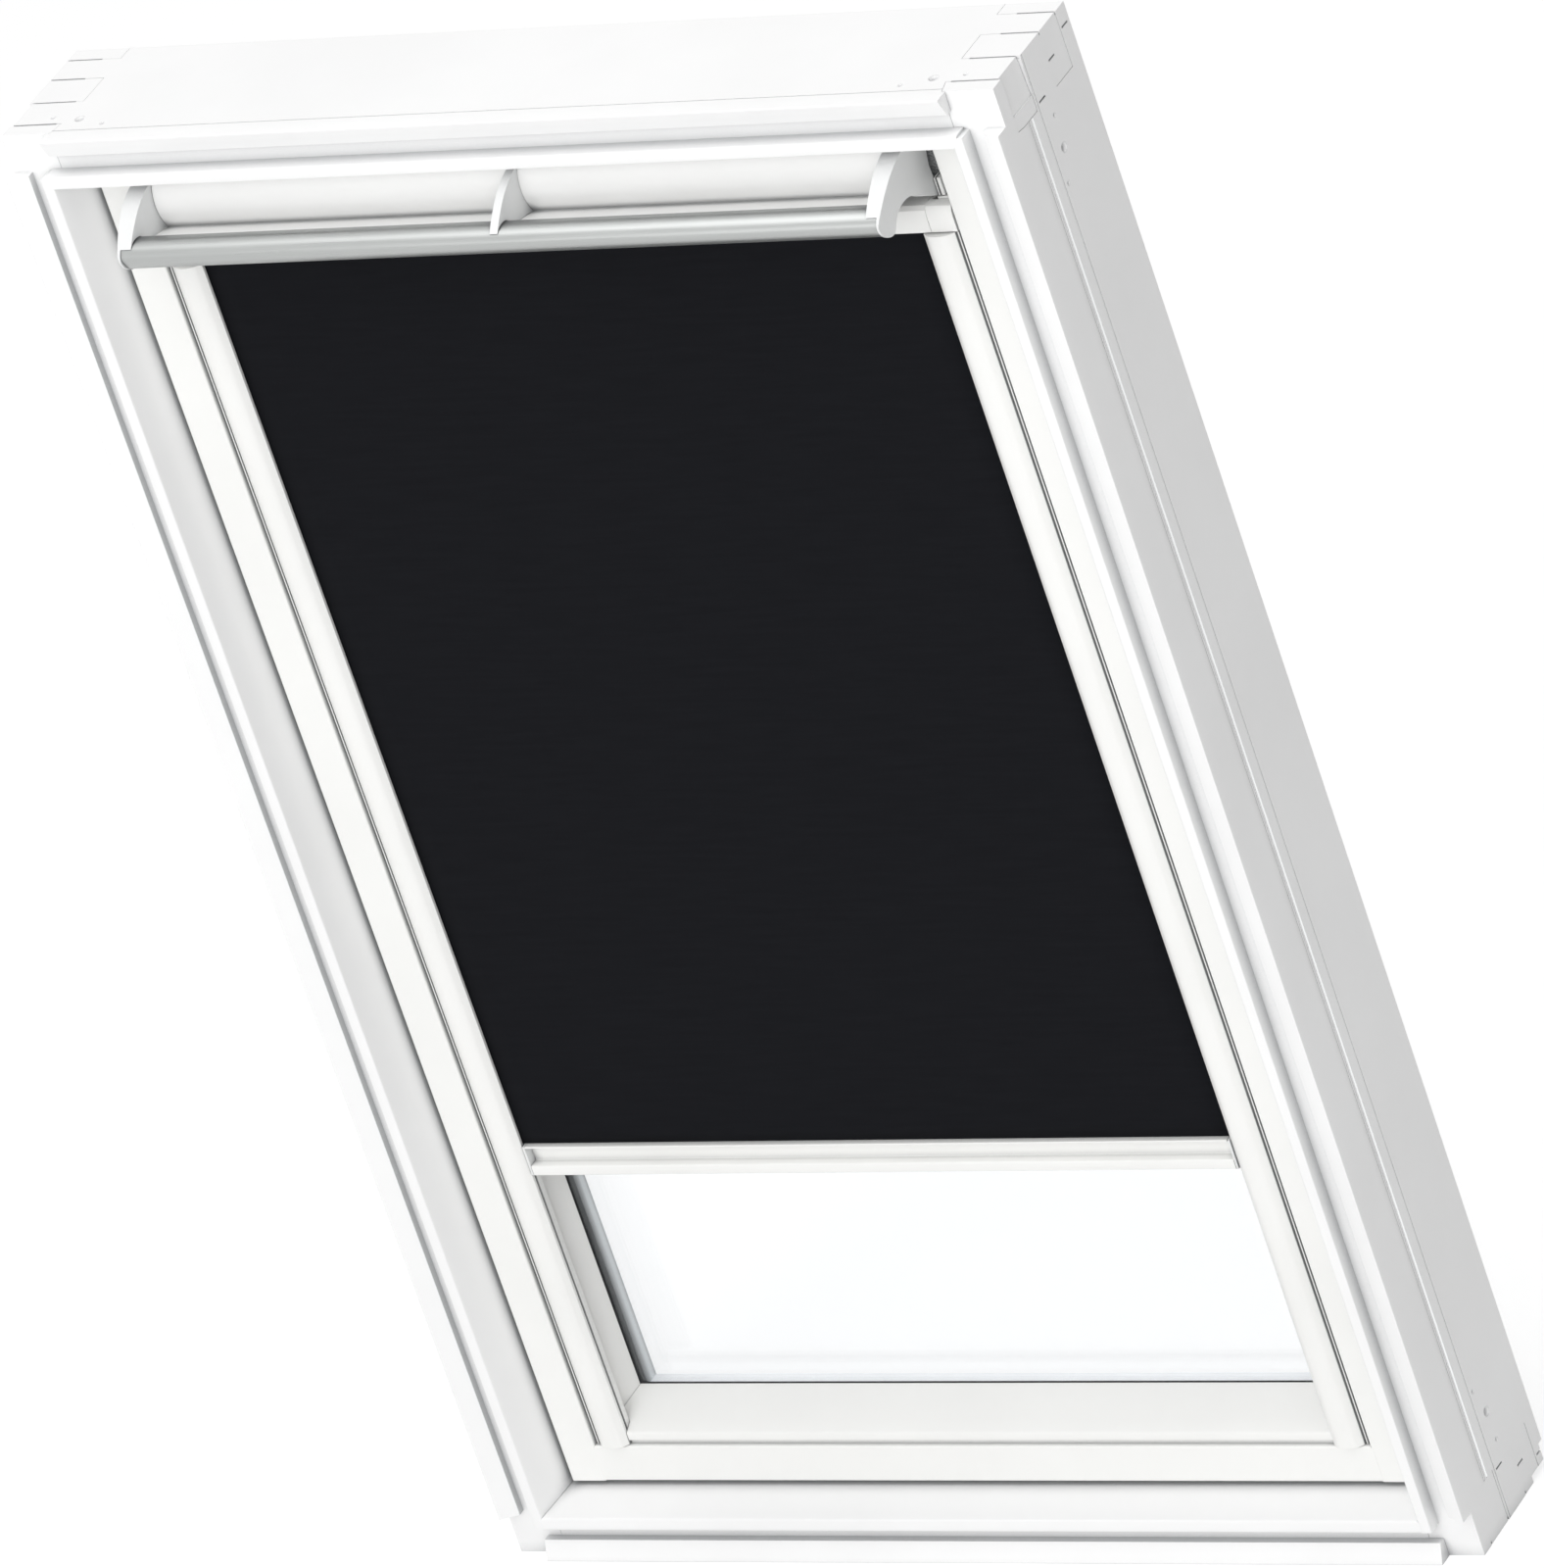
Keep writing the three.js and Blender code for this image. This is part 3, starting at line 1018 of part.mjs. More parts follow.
// Roller blind: head box with end caps, roller, side guides, cloth and bottom bar
function addBlindBox() {
  const shape = outline([
    [BLIND_BOX_FRONT, BLIND_BOX_BOTTOM, BLIND_BOX_WALL],
    [FABRIC_PLANE - FABRIC_SLOT / 2, BLIND_BOX_BOTTOM],
    [FABRIC_PLANE - FABRIC_SLOT / 2, BLIND_BOX_BOTTOM + BLIND_BOX_WALL],
    [BLIND_BOX_FRONT + BLIND_BOX_WALL, BLIND_BOX_BOTTOM + BLIND_BOX_WALL],
    [BLIND_BOX_FRONT + BLIND_BOX_WALL, BLIND_BOX_TOP - BLIND_BOX_WALL, BLIND_BOX_ROUND - BLIND_BOX_WALL],
    [BLIND_BOX_BACK - BLIND_BOX_WALL, BLIND_BOX_TOP - BLIND_BOX_WALL],
    [BLIND_BOX_BACK - BLIND_BOX_WALL, BLIND_BOX_BOTTOM + BLIND_BOX_WALL],
    [FABRIC_PLANE + FABRIC_SLOT / 2, BLIND_BOX_BOTTOM + BLIND_BOX_WALL],
    [FABRIC_PLANE + FABRIC_SLOT / 2, BLIND_BOX_BOTTOM],
    [BLIND_BOX_BACK, BLIND_BOX_BOTTOM],
    [BLIND_BOX_BACK, BLIND_BOX_TOP],
    [BLIND_BOX_FRONT, BLIND_BOX_TOP, BLIND_BOX_ROUND],
  ]);
  addNode("blind_box", alongX(shape, -BLIND_BOX_HALF_LENGTH, BLIND_BOX_HALF_LENGTH), MATERIALS.blind);

  // Each end block closes the box and fills the rebate beside it, above the guide
  const blockInner = BLIND_BOX_HALF_LENGTH + SEAT_GAP;
  const frontBlock = alongX(outline([
    [BLIND_BOX_FRONT, BLIND_BOX_BOTTOM, BLIND_BOX_WALL],
    [GUIDE_BACK, BLIND_BOX_BOTTOM],
    [GUIDE_BACK, BLIND_BOX_TOP],
    [BLIND_BOX_FRONT, BLIND_BOX_TOP, BLIND_BOX_ROUND],
  ]), blockInner, GUIDE_OUTER);
  const closer = box(
    blockInner, blockInner + BLIND_BOX_END_CAP, REBATE_FACE - BLIND_BOX_WALL, BLIND_BOX_BACK,
    BLIND_BOX_BOTTOM, BLIND_BOX_TOP,
  );
  const rollerPin = rod(
    "x", ROLLER_BORE - RUN_GAP, blockInner - ROLLER_PIN_REACH, blockInner + BLIND_BOX_END_CAP / 2,
    ROLL_CENTRE_DEPTH, ROLL_CENTRE_HEIGHT, SMALL_CIRCLE_STEPS,
  );
  const rightBlock = joinAll([frontBlock, closer, rollerPin]);
  addNode("blind_end_right", rightBlock, MATERIALS.blind);
  addNode("blind_end_left", mirrorX(rightBlock), MATERIALS.blind);

  // A grooved post on the sill of the vent notch holds the box from behind
  const postInner = BRACKET_OUTER + RUN_GAP;
  const post = box(
    postInner, postInner + BLIND_MOUNT_WIDTH, BLIND_MOUNT_FRONT, BLIND_MOUNT_BACK,
    VENT_SILL + SEAT_GAP, VENT_SILL + SEAT_GAP + BLIND_MOUNT_HEIGHT,
  );
  const groove = box(
    postInner + BLIND_MOUNT_SLOT, postInner + 2 * BLIND_MOUNT_SLOT,
    BLIND_MOUNT_FRONT - OVERRUN, BLIND_MOUNT_BACK - BLIND_MOUNT_SLOT,
    VENT_SILL, VENT_SILL + BLIND_MOUNT_HEIGHT + OVERRUN,
  );
  const rightPost = post.subtract(groove);
  addNode("blind_mount_right", rightPost, MATERIALS.blind);
  addNode("blind_mount_left", mirrorX(rightPost), MATERIALS.blind);
}

function addRoller() {
  const tube = rod(
    "x", ROLLER_RADIUS, -ROLLER_HALF_LENGTH, ROLLER_HALF_LENGTH, ROLL_CENTRE_DEPTH, ROLL_CENTRE_HEIGHT,
  );
  const bore = rod(
    "x", ROLLER_BORE, -ROLLER_HALF_LENGTH - OVERRUN, ROLLER_HALF_LENGTH + OVERRUN,
    ROLL_CENTRE_DEPTH, ROLL_CENTRE_HEIGHT, SMALL_CIRCLE_STEPS,
  );
  const keyway = box(
    -ROLLER_HALF_LENGTH - OVERRUN, ROLLER_HALF_LENGTH + OVERRUN,
    ROLL_CENTRE_DEPTH - ROLLER_SLOT / 2, ROLL_CENTRE_DEPTH + ROLLER_SLOT / 2,
    ROLL_CENTRE_HEIGHT + ROLLER_RADIUS - ROLLER_SLOT, ROLL_CENTRE_HEIGHT + ROLLER_RADIUS + OVERRUN,
  );
  addNode("roller_tube", cutAll(tube, [bore, keyway]), MATERIALS.bar);
  const roll = rod(
    "x", FABRIC_ROLL_RADIUS, -FABRIC_HALF_WIDTH, FABRIC_HALF_WIDTH, ROLL_CENTRE_DEPTH, ROLL_CENTRE_HEIGHT,
  ).subtract(rod(
    "x", ROLLER_RADIUS + SEAT_GAP, -FABRIC_HALF_WIDTH - OVERRUN, FABRIC_HALF_WIDTH + OVERRUN,
    ROLL_CENTRE_DEPTH, ROLL_CENTRE_HEIGHT,
  ));
  addNode("fabric_roll", roll, MATERIALS.fabric);
}

function addGuides() {
  const slotFront = FABRIC_PLANE - FABRIC_SLOT / 2;
  const slotBack = FABRIC_PLANE + FABRIC_SLOT / 2;
  const slotEnd = GUIDE_INNER + GUIDE_SLOT_REACH;
  const finInner = GUIDE_OUTER - GUIDE_FIN;
  const noseEnd = finInner - GUIDE_FIN_GROOVE;
  const nose = (noseEnd - GUIDE_INNER) / 4;
  const flangeFront = GUIDE_BACK - GUIDE_FLANGE_THICKNESS;
  const shape = outline([
    [GUIDE_INNER, slotFront],
    [GUIDE_INNER, GUIDE_EDGE],
    [GUIDE_INNER + nose, GUIDE_NOSE, nose],
    [noseEnd - nose, GUIDE_NOSE, nose],
    [noseEnd, GUIDE_EDGE],
    [noseEnd, GUIDE_EDGE + GUIDE_FIN_DEPTH],
    [finInner, GUIDE_EDGE + GUIDE_FIN_DEPTH],
    [finInner, GUIDE_EDGE + GUIDE_FIN / 2, GUIDE_FIN / 2],
    [GUIDE_OUTER, GUIDE_EDGE + GUIDE_FIN / 2, GUIDE_FIN / 2],
    [GUIDE_OUTER, flangeFront],
    [GUIDE_OUTER + GUIDE_FLANGE, flangeFront],
    [GUIDE_OUTER + GUIDE_FLANGE, GUIDE_BACK],
    [GUIDE_INNER, GUIDE_BACK],
    [GUIDE_INNER, slotBack],
    [slotEnd, slotBack],
    [slotEnd, slotFront],
  ], 2 * ROUND_STEPS);
  const cavity = outline([
    [GUIDE_OUTER - GUIDE_WALL, GUIDE_EDGE + GUIDE_FIN_DEPTH + GUIDE_WALL],
    [GUIDE_OUTER - GUIDE_WALL, GUIDE_BACK - GUIDE_WALL],
    [slotEnd + GUIDE_WALL, GUIDE_BACK - GUIDE_WALL],
    [slotEnd + GUIDE_WALL, GUIDE_EDGE + GUIDE_FIN_DEPTH + GUIDE_WALL],
  ]);
  const guideTop = BLIND_BOX_BOTTOM - SEAT_GAP;
  const rightGuide = alongZ(shape, GUIDE_FOOT, guideTop)
    .subtract(alongZ(cavity, GUIDE_FOOT - OVERRUN, guideTop + OVERRUN));
  addNode("guide_right", rightGuide, MATERIALS.blind);
  addNode("guide_left", mirrorX(rightGuide), MATERIALS.blind);

  // A soft strip fills the gap between each guide and the stile
  const sealInner = GUIDE_OUTER + SEAT_GAP;
  const sealOuter = STILE_INNER_FACE - SEAT_GAP;
  const rightSeal = alongZ(outline([
    [sealInner, GUIDE_SEAL_FRONT, GUIDE_SEAL_ROUND],
    [sealOuter, GUIDE_SEAL_FRONT, GUIDE_SEAL_ROUND],
    [sealOuter, flangeFront - SEAT_GAP],
    [sealInner, flangeFront - SEAT_GAP],
  ]), GUIDE_FOOT, BLIND_BOX_TOP);
  addNode("guide_seal_right", rightSeal, MATERIALS.seal);
  addNode("guide_seal_left", mirrorX(rightSeal), MATERIALS.seal);
}

function addCloth() {
  const top = ROLL_CENTRE_HEIGHT;
  addNode("blind_fabric", box(
    -FABRIC_HALF_WIDTH, FABRIC_HALF_WIDTH,
    FABRIC_PLANE - FABRIC_THICKNESS / 2, FABRIC_PLANE + FABRIC_THICKNESS / 2,
    HEM_TOP + SEAT_GAP, top,
  ), MATERIALS.fabric);
}

function addHem() {
  const channelBack = HEM_FRONT + HEM_CHANNEL;
  const channelTop = HEM_TOP - HEM_LIP;
  const channelFoot = channelTop - HEM_CHANNEL_HEIGHT;
  const shape = outline([
    [HEM_FRONT, HEM_TOP, HEM_LIP / 2],
    [HEM_FRONT, channelTop, HEM_LIP / 2],
    [channelBack, channelTop, HEM_CHANNEL_ROUND],
    [channelBack, channelFoot, HEM_WALL],
    [HEM_FRONT, channelFoot, EDGE_ROUND],
    [HEM_FRONT, HEM_BOTTOM, EDGE_ROUND],
    [HEM_BACK, HEM_BOTTOM, EDGE_ROUND],
    [HEM_BACK, HEM_TOP, EDGE_ROUND],
  ]);
  const hollow = box(
    -HEM_HALF_LENGTH - OVERRUN, HEM_HALF_LENGTH + OVERRUN,
    HEM_FRONT + HEM_WALL, HEM_BACK - HEM_WALL, HEM_BOTTOM + HEM_WALL, channelFoot - HEM_WALL,
  );
  addNode("hem_bar", alongX(shape, -HEM_HALF_LENGTH, HEM_HALF_LENGTH).subtract(hollow), MATERIALS.blind);

  const capInner = HEM_HALF_LENGTH + SEAT_GAP;
  const capOuter = HEM_HALF_LENGTH + HEM_CAP;
  const cap = alongX(outline([
    [HEM_FRONT, HEM_TOP, EDGE_ROUND],
    [HEM_FRONT, HEM_BOTTOM, EDGE_ROUND],
    [HEM_BACK, HEM_BOTTOM, EDGE_ROUND],
    [HEM_BACK, HEM_TOP, EDGE_ROUND],
  ]), capInner, capOuter);
  const middle = (HEM_TOP + HEM_BOTTOM) / 2;
  const tongue = box(
    capInner, GUIDE_INNER + TONGUE_REACH,
    FABRIC_PLANE - TONGUE_THICKNESS / 2, FABRIC_PLANE + TONGUE_THICKNESS / 2,
    middle - TONGUE_HEIGHT / 2, middle + TONGUE_HEIGHT / 2,
  );
  const rightCap = cap.add(tongue);
  addNode("hem_cap_right", rightCap, MATERIALS.bracket);
  addNode("hem_cap_left", mirrorX(rightCap), MATERIALS.bracket);
}

addFrame();
addFrameTrim();
addSash();
addGlass();
addPivots();
addVentBar();
addLugsAndFilter();
addLatch();
addBlindBox();
addRoller();
addGuides();
addCloth();
addHem();

model.position.y = -FRAME_DEPTH / 2;

export default model;
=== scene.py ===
"""Looks of a roof window with a roller blackout blind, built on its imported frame.

Everything is in metres in the frame's own axes: X across, Y from the room outwards, Z up.
Sizes of the object's details are written in millimetres and turned into metres by mm().
"""

import json
import math

import bmesh
import bpy
from mathutils import Matrix, Vector


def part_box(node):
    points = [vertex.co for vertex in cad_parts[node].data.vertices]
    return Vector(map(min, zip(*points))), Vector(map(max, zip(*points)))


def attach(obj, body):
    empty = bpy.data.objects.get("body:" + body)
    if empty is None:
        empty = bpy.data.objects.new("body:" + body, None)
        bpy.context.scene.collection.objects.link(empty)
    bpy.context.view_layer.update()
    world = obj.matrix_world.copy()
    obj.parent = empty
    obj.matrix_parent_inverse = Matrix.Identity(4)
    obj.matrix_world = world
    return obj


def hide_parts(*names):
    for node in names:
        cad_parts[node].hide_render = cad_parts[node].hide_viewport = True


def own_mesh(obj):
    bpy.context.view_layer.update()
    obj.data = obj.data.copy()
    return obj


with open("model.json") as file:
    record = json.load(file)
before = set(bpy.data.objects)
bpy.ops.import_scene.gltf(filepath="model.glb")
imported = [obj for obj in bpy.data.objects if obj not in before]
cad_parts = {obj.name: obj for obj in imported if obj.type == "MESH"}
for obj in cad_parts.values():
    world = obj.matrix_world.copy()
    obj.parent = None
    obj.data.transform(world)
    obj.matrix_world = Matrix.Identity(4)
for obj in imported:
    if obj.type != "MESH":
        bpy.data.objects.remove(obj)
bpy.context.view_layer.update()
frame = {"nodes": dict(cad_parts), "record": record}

NODES = frame["nodes"]
MM_IN_METRE = 1000


def mm(value):
    return value / MM_IN_METRE


def corners_of(node):
    low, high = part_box(node)
    return Vector(low), Vector(high)


# Camera, solved from the frame's corners in the photograph
CAMERA_PLACE = (5.9454, -8.4090, 5.9388)
CAMERA_RIGHT = (0.8583953, 0.4205807, -0.2937165)
CAMERA_UP = (0.0197263, 0.5450734, 0.8381562)
CAMERA_BACK = (0.5126094, -0.7252633, 0.4595920)
CAMERA_LENS = 388.11
SENSOR_HEIGHT = 36
CAMERA_FAR = 60

# Lamps, world and floor
WORLD_LIGHT = 0.42
KEY_POWER = 203
KEY_SIZE = 7
KEY_PLACE = (0.8, -5, 2.2)
TOP_POWER = 57
TOP_SIZE = 4
TOP_PLACE = (0, -0.5, 4)
AIM = (0, 0, 0.6)
FLOOR_SIZE = 30
FLOOR_COLOUR = 0.8
FLOOR_GLOW = 0.74
FLOOR_SHADE = 0.42
WHITE = (1, 1, 1, 1)

# Softened edges of the CAD nodes
MERGE_DISTANCE = mm(0.01)
FLAT_ANGLE = math.radians(0.6)
SHARP_ANGLE = math.radians(33)
EDGE_SEGMENTS = 2
PAINT_EDGE = mm(0.35)
BRACKET_EDGE = mm(0.8)
SHEET_EDGE = mm(0.25)
GLASS_EDGE = mm(0.6)
EDGE_WIDTHS = {
    "frame_paint": PAINT_EDGE, "sash_paint": PAINT_EDGE, "flap_white": PAINT_EDGE,
    "blind_white": SHEET_EDGE, "steel_zinc": SHEET_EDGE, "plastic_black": SHEET_EDGE,
    "bar_aluminium": SHEET_EDGE, "cover_grey": SHEET_EDGE,
    "bracket_grey": BRACKET_EDGE, "glass": GLASS_EDGE,
}

# Cloth of the blind, and its winding on the roller
CLOTH_HALF = mm(0.15)
CLOTH_COLUMNS = 24
CLOTH_ROWS = 60
CLOTH_BOW = mm(0.2)
CLOTH_WAVES = 70
CLOTH_WAVE_DEPTH = mm(0.03)
THREAD_PITCH = mm(0.45)
ROLL_TURNS = 4
ROLL_STEPS = 32
ROLL_GAP = mm(0.25)
# Share of the space from one turn to the next that the wound cloth fills
ROLL_FULLNESS = 0.5

# Fillings of the scores along the frame's sides: front and back edge, each as its distance
# behind the lips and its depth under the face, then the depth of the hidden corner
SIDE_FILLS = (
    ("front", (mm(41.1), mm(0.1)), (mm(43.2), mm(0.3)), mm(1.35)),
    ("back", (mm(45.2), mm(0.35)), (mm(47.15), mm(0.05)), mm(1.25)),
)
# The back fillings take a bright metal look that stands in for the light caught along each score:
# painted highlight
FILL_LOOKS = {"front": ("frame_paint", "frame_paint"), "back": ("painted_highlight_strip", "bar_aluminium")}
FILL_END_GAP = mm(0.4)

# Dished plugs in the frame's screw holes: distance from the member's end, distance behind
# the lips, and the hole's radius
SIDE_PLUGS = ((mm(56), mm(72.5), mm(2)), (mm(80), mm(71.4), mm(4)), (mm(102.5), mm(62.8), mm(2)))
RAIL_PLUGS = ((mm(31), mm(34), mm(2)), (mm(54), mm(31), mm(4)), (mm(76), mm(23.5), mm(2)))
PLUG_GAP = mm(0.15)
PLUG_STEPS = 24
# Outline from the hidden middle to the dished one: way out and depth, in shares of the radius
PLUG_OUTLINE = ((0, 1.8), (1, 1.8), (1, 0.06), (0.93, 0.06), (0.5, 0.9), (0, 1.2))

# Scale of a noise along X, Y and Z: less than 1 draws it out along that axis
EVEN = (1, 1, 1)
DRAWN = (0.02, 1, 1)
UPRIGHT = (1, 1, 0.02)
SLUB = (0.08, 1, 1)
YARN = (0.15, 1, 1)

# Noises of the finishes: cells for each metre, detail and scale along the axes
GRAINS = {
    "worn_patches": (60.0, 2.0, EVEN),
    "lacquer_clouds": (7.0, 3.0, EVEN),
    "lacquer_gloss": (180.0, 3.0, EVEN),
    "lacquer_peel": (900.0, 2.0, EVEN),
    "lacquer_swell": (60.0, 1.0, EVEN),
    "bar_lines": (2600.0, 3.0, DRAWN),
    "bar_gloss": (500.0, 2.0, DRAWN),
    "spacer_lines": (900.0, 3.0, UPRIGHT),
    "spacer_gloss": (500.0, 2.0, EVEN),
    "zinc_skin": (1200.0, 2.0, EVEN),
    "coat_clouds": (12.0, 4.0, EVEN),
    "coat_gloss": (300.0, 2.0, EVEN),
    "coat_pebbles": (1400.0, 1.0, EVEN),
    "rubber_dust": (90.0, 5.0, EVEN),
    "rubber_gloss": (400.0, 2.0, EVEN),
    "rubber_skin": (2500.0, 2.0, EVEN),
    "moulded_clouds": (30.0, 3.0, EVEN),
    "moulded_gloss": (350.0, 2.0, EVEN),
    "moulded_skin": (2200.0, 3.0, EVEN),
    "cloth_slubs": (260.0, 4.0, SLUB),
    "glass_waves": (2.5, 1.0, EVEN),
}

# Reliefs of the finishes: full depth and strength
RELIEFS = {
    "lacquer_peel": (mm(0.02), 0.35),
    "lacquer_swell": (mm(0.05), 0.2),
    "bar_lines": (mm(0.01), 0.15),
    "zinc_skin": (mm(0.01), 0.4),
    "coat_pebbles": (mm(0.03), 0.7),
    "rubber_skin": (mm(0.02), 0.5),
    "moulded_skin": (mm(0.02), 0.55),
    "cloth_threads": (mm(0.05), 0.6),
    "foam_pores": (mm(0.8), 0.9),
    "glass_waves": (mm(0.4), 0.15),
}

# Gloss: lowest and highest roughness, or what is added to a finish's own roughness
BAR_GLOSS = (0.27, 0.34)
SPACER_GLOSS = (0.35, 0.52)
ZINC_GLOSS = (0.28, 0.5)
COAT_GLOSS = (0.42, 0.6)
RUBBER_GLOSS = (0.62, 0.88)
LACQUER_GLOSS = (-0.08, 0.1)
MOULDED_GLOSS = (-0.06, 0.1)
LACQUER_COAT = 0.12
LACQUER_COAT_ROUGHNESS = 0.25

# Spans of a factor over which a colour or a gloss goes from its first value to its second
NOISE_RANGE = (0.3, 0.7)
LACQUER_BLEND = (0.35, 0.6)
SPACER_BLEND = (0.12, 0.93)
ZINC_BLEND = (0.1, 0.9)
RUBBER_BLEND = (0.4, 0.75)
CLOTH_BLEND = (0.3, 0.72)
FOAM_BLEND = (0.2, 0.8)
PAINTED_TOP_LIGHT_BLEND = (0.4, 0.6)

# Worn edges: greatest share of the second colour, cosines of the turn at an edge at which it
# is full and at which it ends, span of the patches that show it, and reach from the edge
WORN_SHARE = 0.7
WORN_TURN = (0.8, 0.99)
WORN_PATCH = (0.45, 0.62)
WORN_REACH = mm(0.6)
WORN_SAMPLES = 4

# Painted shade in gaps and inner corners: openness at which it is full and at which it ends
PAINTED_SHADE_RANGE = (0.2, 0.75)
PAINTED_SHADE_SAMPLES = 8
BAR_PAINTED_SHADE_REACH = mm(45)
BAR_PAINTED_SHADE_RANGE = (0.5, 0.92)

# Spacer: its front and back edges lie this far either side of 0, its brightest metal between
SPACER_SPREAD = 0.6
SPACER_METAL_MIDDLE = 0.18
SPACER_STREAKS = 0.05

# Zinc crystals and foam pores for each metre
ZINC_CELLS = 260.0
FOAM_CELLS = 750.0

# Threads in one uneven patch of the cloth, and the noise's detail inside it
THREADS_IN_PATCH = 3
YARN_DETAIL = 3.0

# Radians by which the Wave node turns for each unit of its scale and of length
WAVE_NODE_FACTOR = 20

# Shader values that are even over a surface
GLASS_TINT = (0.985, 0.99, 0.995)
GLASS_IOR = 1.45
RUBBER_SHEEN = 0.15
CLOTH_SPECULAR = 0.12
FOAM_SPECULAR = 0.2

# Sockets of the Mix node that carry colours
MIX_FIRST = 6
MIX_SECOND = 7
MIX_RESULT = 2

# Curve of a screen colour
SCREEN_TOP = 255
SCREEN_TOE = 0.04045
SCREEN_TOE_SLOPE = 12.92
SCREEN_OFFSET = 0.055
SCREEN_GAMMA = 2.4


# Materials
class Finish:
    """A Principled material in object coordinates, with helpers for its procedural detail."""

    def __init__(self, name, colour, roughness, metallic=0.0):
        self.material = bpy.data.materials.new(name)
        self.material.use_nodes = True
        self.tree = self.material.node_tree
        self.shader = self.tree.nodes["Principled BSDF"]
        self.set("Base Color", (*colour, 1))
        self.set("Roughness", roughness)
        self.set("Metallic", metallic)
        self.place = self.tree.nodes.new("ShaderNodeTexCoord").outputs["Object"]
        self.normal = None

    def set(self, socket, value):
        self.shader.inputs[socket].default_value = value

    def node(self, kind, **values):
        made = self.tree.nodes.new(kind)
        for key, value in values.items():
            if key in made.inputs:
                made.inputs[key].default_value = value
            else:
                setattr(made, key, value)
        return made

    def link(self, output, socket):
        self.tree.links.new(output, socket)

    def noise(self, scale, detail, stretch):
        mapping = self.node("ShaderNodeMapping", Scale=stretch)
        self.link(self.place, mapping.inputs["Vector"])
        noise = self.node("ShaderNodeTexNoise", Scale=scale, Detail=detail)
        self.link(mapping.outputs["Vector"], noise.inputs["Vector"])
        return noise.outputs["Fac"]

    def grain(self, name):
        return self.noise(*GRAINS[name])

    def cells(self, scale):
        cells = self.node("ShaderNodeTexVoronoi", Scale=scale)
        self.link(self.place, cells.inputs["Vector"])
        return cells.outputs["Distance"]

    def wave(self, pitch, axis):
        """Sine ridges across the axis, one for each pitch in metres."""
        scale = math.tau / WAVE_NODE_FACTOR / pitch
        wave = self.node("ShaderNodeTexWave", Scale=scale, bands_direction=axis)
        self.link(self.place, wave.inputs["Vector"])
        return wave.outputs["Fac"]

    def combine(self, operation, first, second):
        math_node = self.node("ShaderNodeMath", operation=operation)
        for value, socket in ((first, math_node.inputs[0]), (second, math_node.inputs[1])):
            if isinstance(value, (int, float)):
                socket.default_value = value
            else:
                self.link(value, socket)
        return math_node.outputs[0]

    def spread(self, factor, low, high, span=NOISE_RANGE):
        """Maps the part of a factor inside the span to low to high."""
        mapped = self.node("ShaderNodeMapRange", clamp=True)
        ends = ("From Min", span[0]), ("From Max", span[1]), ("To Min", low), ("To Max", high)
        for name, value in ends:
            mapped.inputs[name].default_value = value
        self.link(factor, mapped.inputs["Value"])
        return mapped.outputs["Result"]

    def colours(self, factor, first, second, span=NOISE_RANGE):
        """Blends two colours over the span of a factor and puts them on the surface."""
        ramp = self.node("ShaderNodeValToRGB")
        for stop, place, colour in zip(ramp.color_ramp.elements, span, (first, second)):
            stop.position = place
            stop.color = (*colour, 1)
        self.link(factor, ramp.inputs["Fac"])
        self.link(ramp.outputs["Color"], self.shader.inputs["Base Color"])

    def gloss(self, factor, low, high):
        self.link(self.spread(factor, low, high), self.shader.inputs["Roughness"])

    def relief(self, name, height=None):
        """Adds one of the RELIEFS, made by the grain of the same name or by a given height."""
        depth, strength = RELIEFS[name]
        bump = self.node("ShaderNodeBump", Strength=strength, Distance=depth)
        self.link(self.grain(name) if height is None else height, bump.inputs["Height"])
        if self.normal is not None:
            self.link(self.normal, bump.inputs["Normal"])
        self.normal = bump.outputs["Normal"]
        self.link(self.normal, self.shader.inputs["Normal"])

    def rubbed_edges(self, colour):
        """Shows a second colour along sharp edges, where handling wears the finish."""
        bevel = self.node("ShaderNodeBevel", samples=WORN_SAMPLES, Radius=WORN_REACH)
        geometry = self.node("ShaderNodeNewGeometry")
        turn = self.node("ShaderNodeVectorMath", operation="DOT_PRODUCT")
        self.link(bevel.outputs["Normal"], turn.inputs[0])
        self.link(geometry.outputs["Normal"], turn.inputs[1])
        worn = self.spread(turn.outputs["Value"], WORN_SHARE, 0.0, WORN_TURN)
        patch = self.spread(self.grain("worn_patches"), 0.0, 1.0, WORN_PATCH)
        self.overlay(self.combine("MULTIPLY", worn, patch), colour)

    def painted_crevice_shade(self, colour, reach, span):
        """Paints shade into the colour: turns the surface towards a darker second colour in gaps and
        inner corners, where less light reaches.
        """
        shelter = self.node("ShaderNodeAmbientOcclusion", samples=PAINTED_SHADE_SAMPLES, Distance=reach)
        self.overlay(self.spread(shelter.outputs["AO"], 1.0, 0.0, span), colour)

    def painted_top_light(self, colour):
        """Paints light into the colour: shows a brighter second colour on faces that look up, as if
        lit from above.
        """
        geometry = self.node("ShaderNodeNewGeometry")
        parts = self.node("ShaderNodeSeparateXYZ")
        self.link(geometry.outputs["Normal"], parts.inputs[0])
        self.overlay(self.spread(parts.outputs["Z"], 0.0, 1.0, PAINTED_TOP_LIGHT_BLEND), colour)

    def overlay(self, amount, colour):
        """Blends a second colour over the surface's own by an amount from 0 to 1."""
        mix = self.node("ShaderNodeMix", data_type="RGBA")
        base = self.shader.inputs["Base Color"]
        self.link(amount, mix.inputs["Factor"])
        self.link(base.links[0].from_socket, mix.inputs[MIX_FIRST])
        mix.inputs[MIX_SECOND].default_value = (*colour, 1)
        self.link(mix.outputs[MIX_RESULT], base)


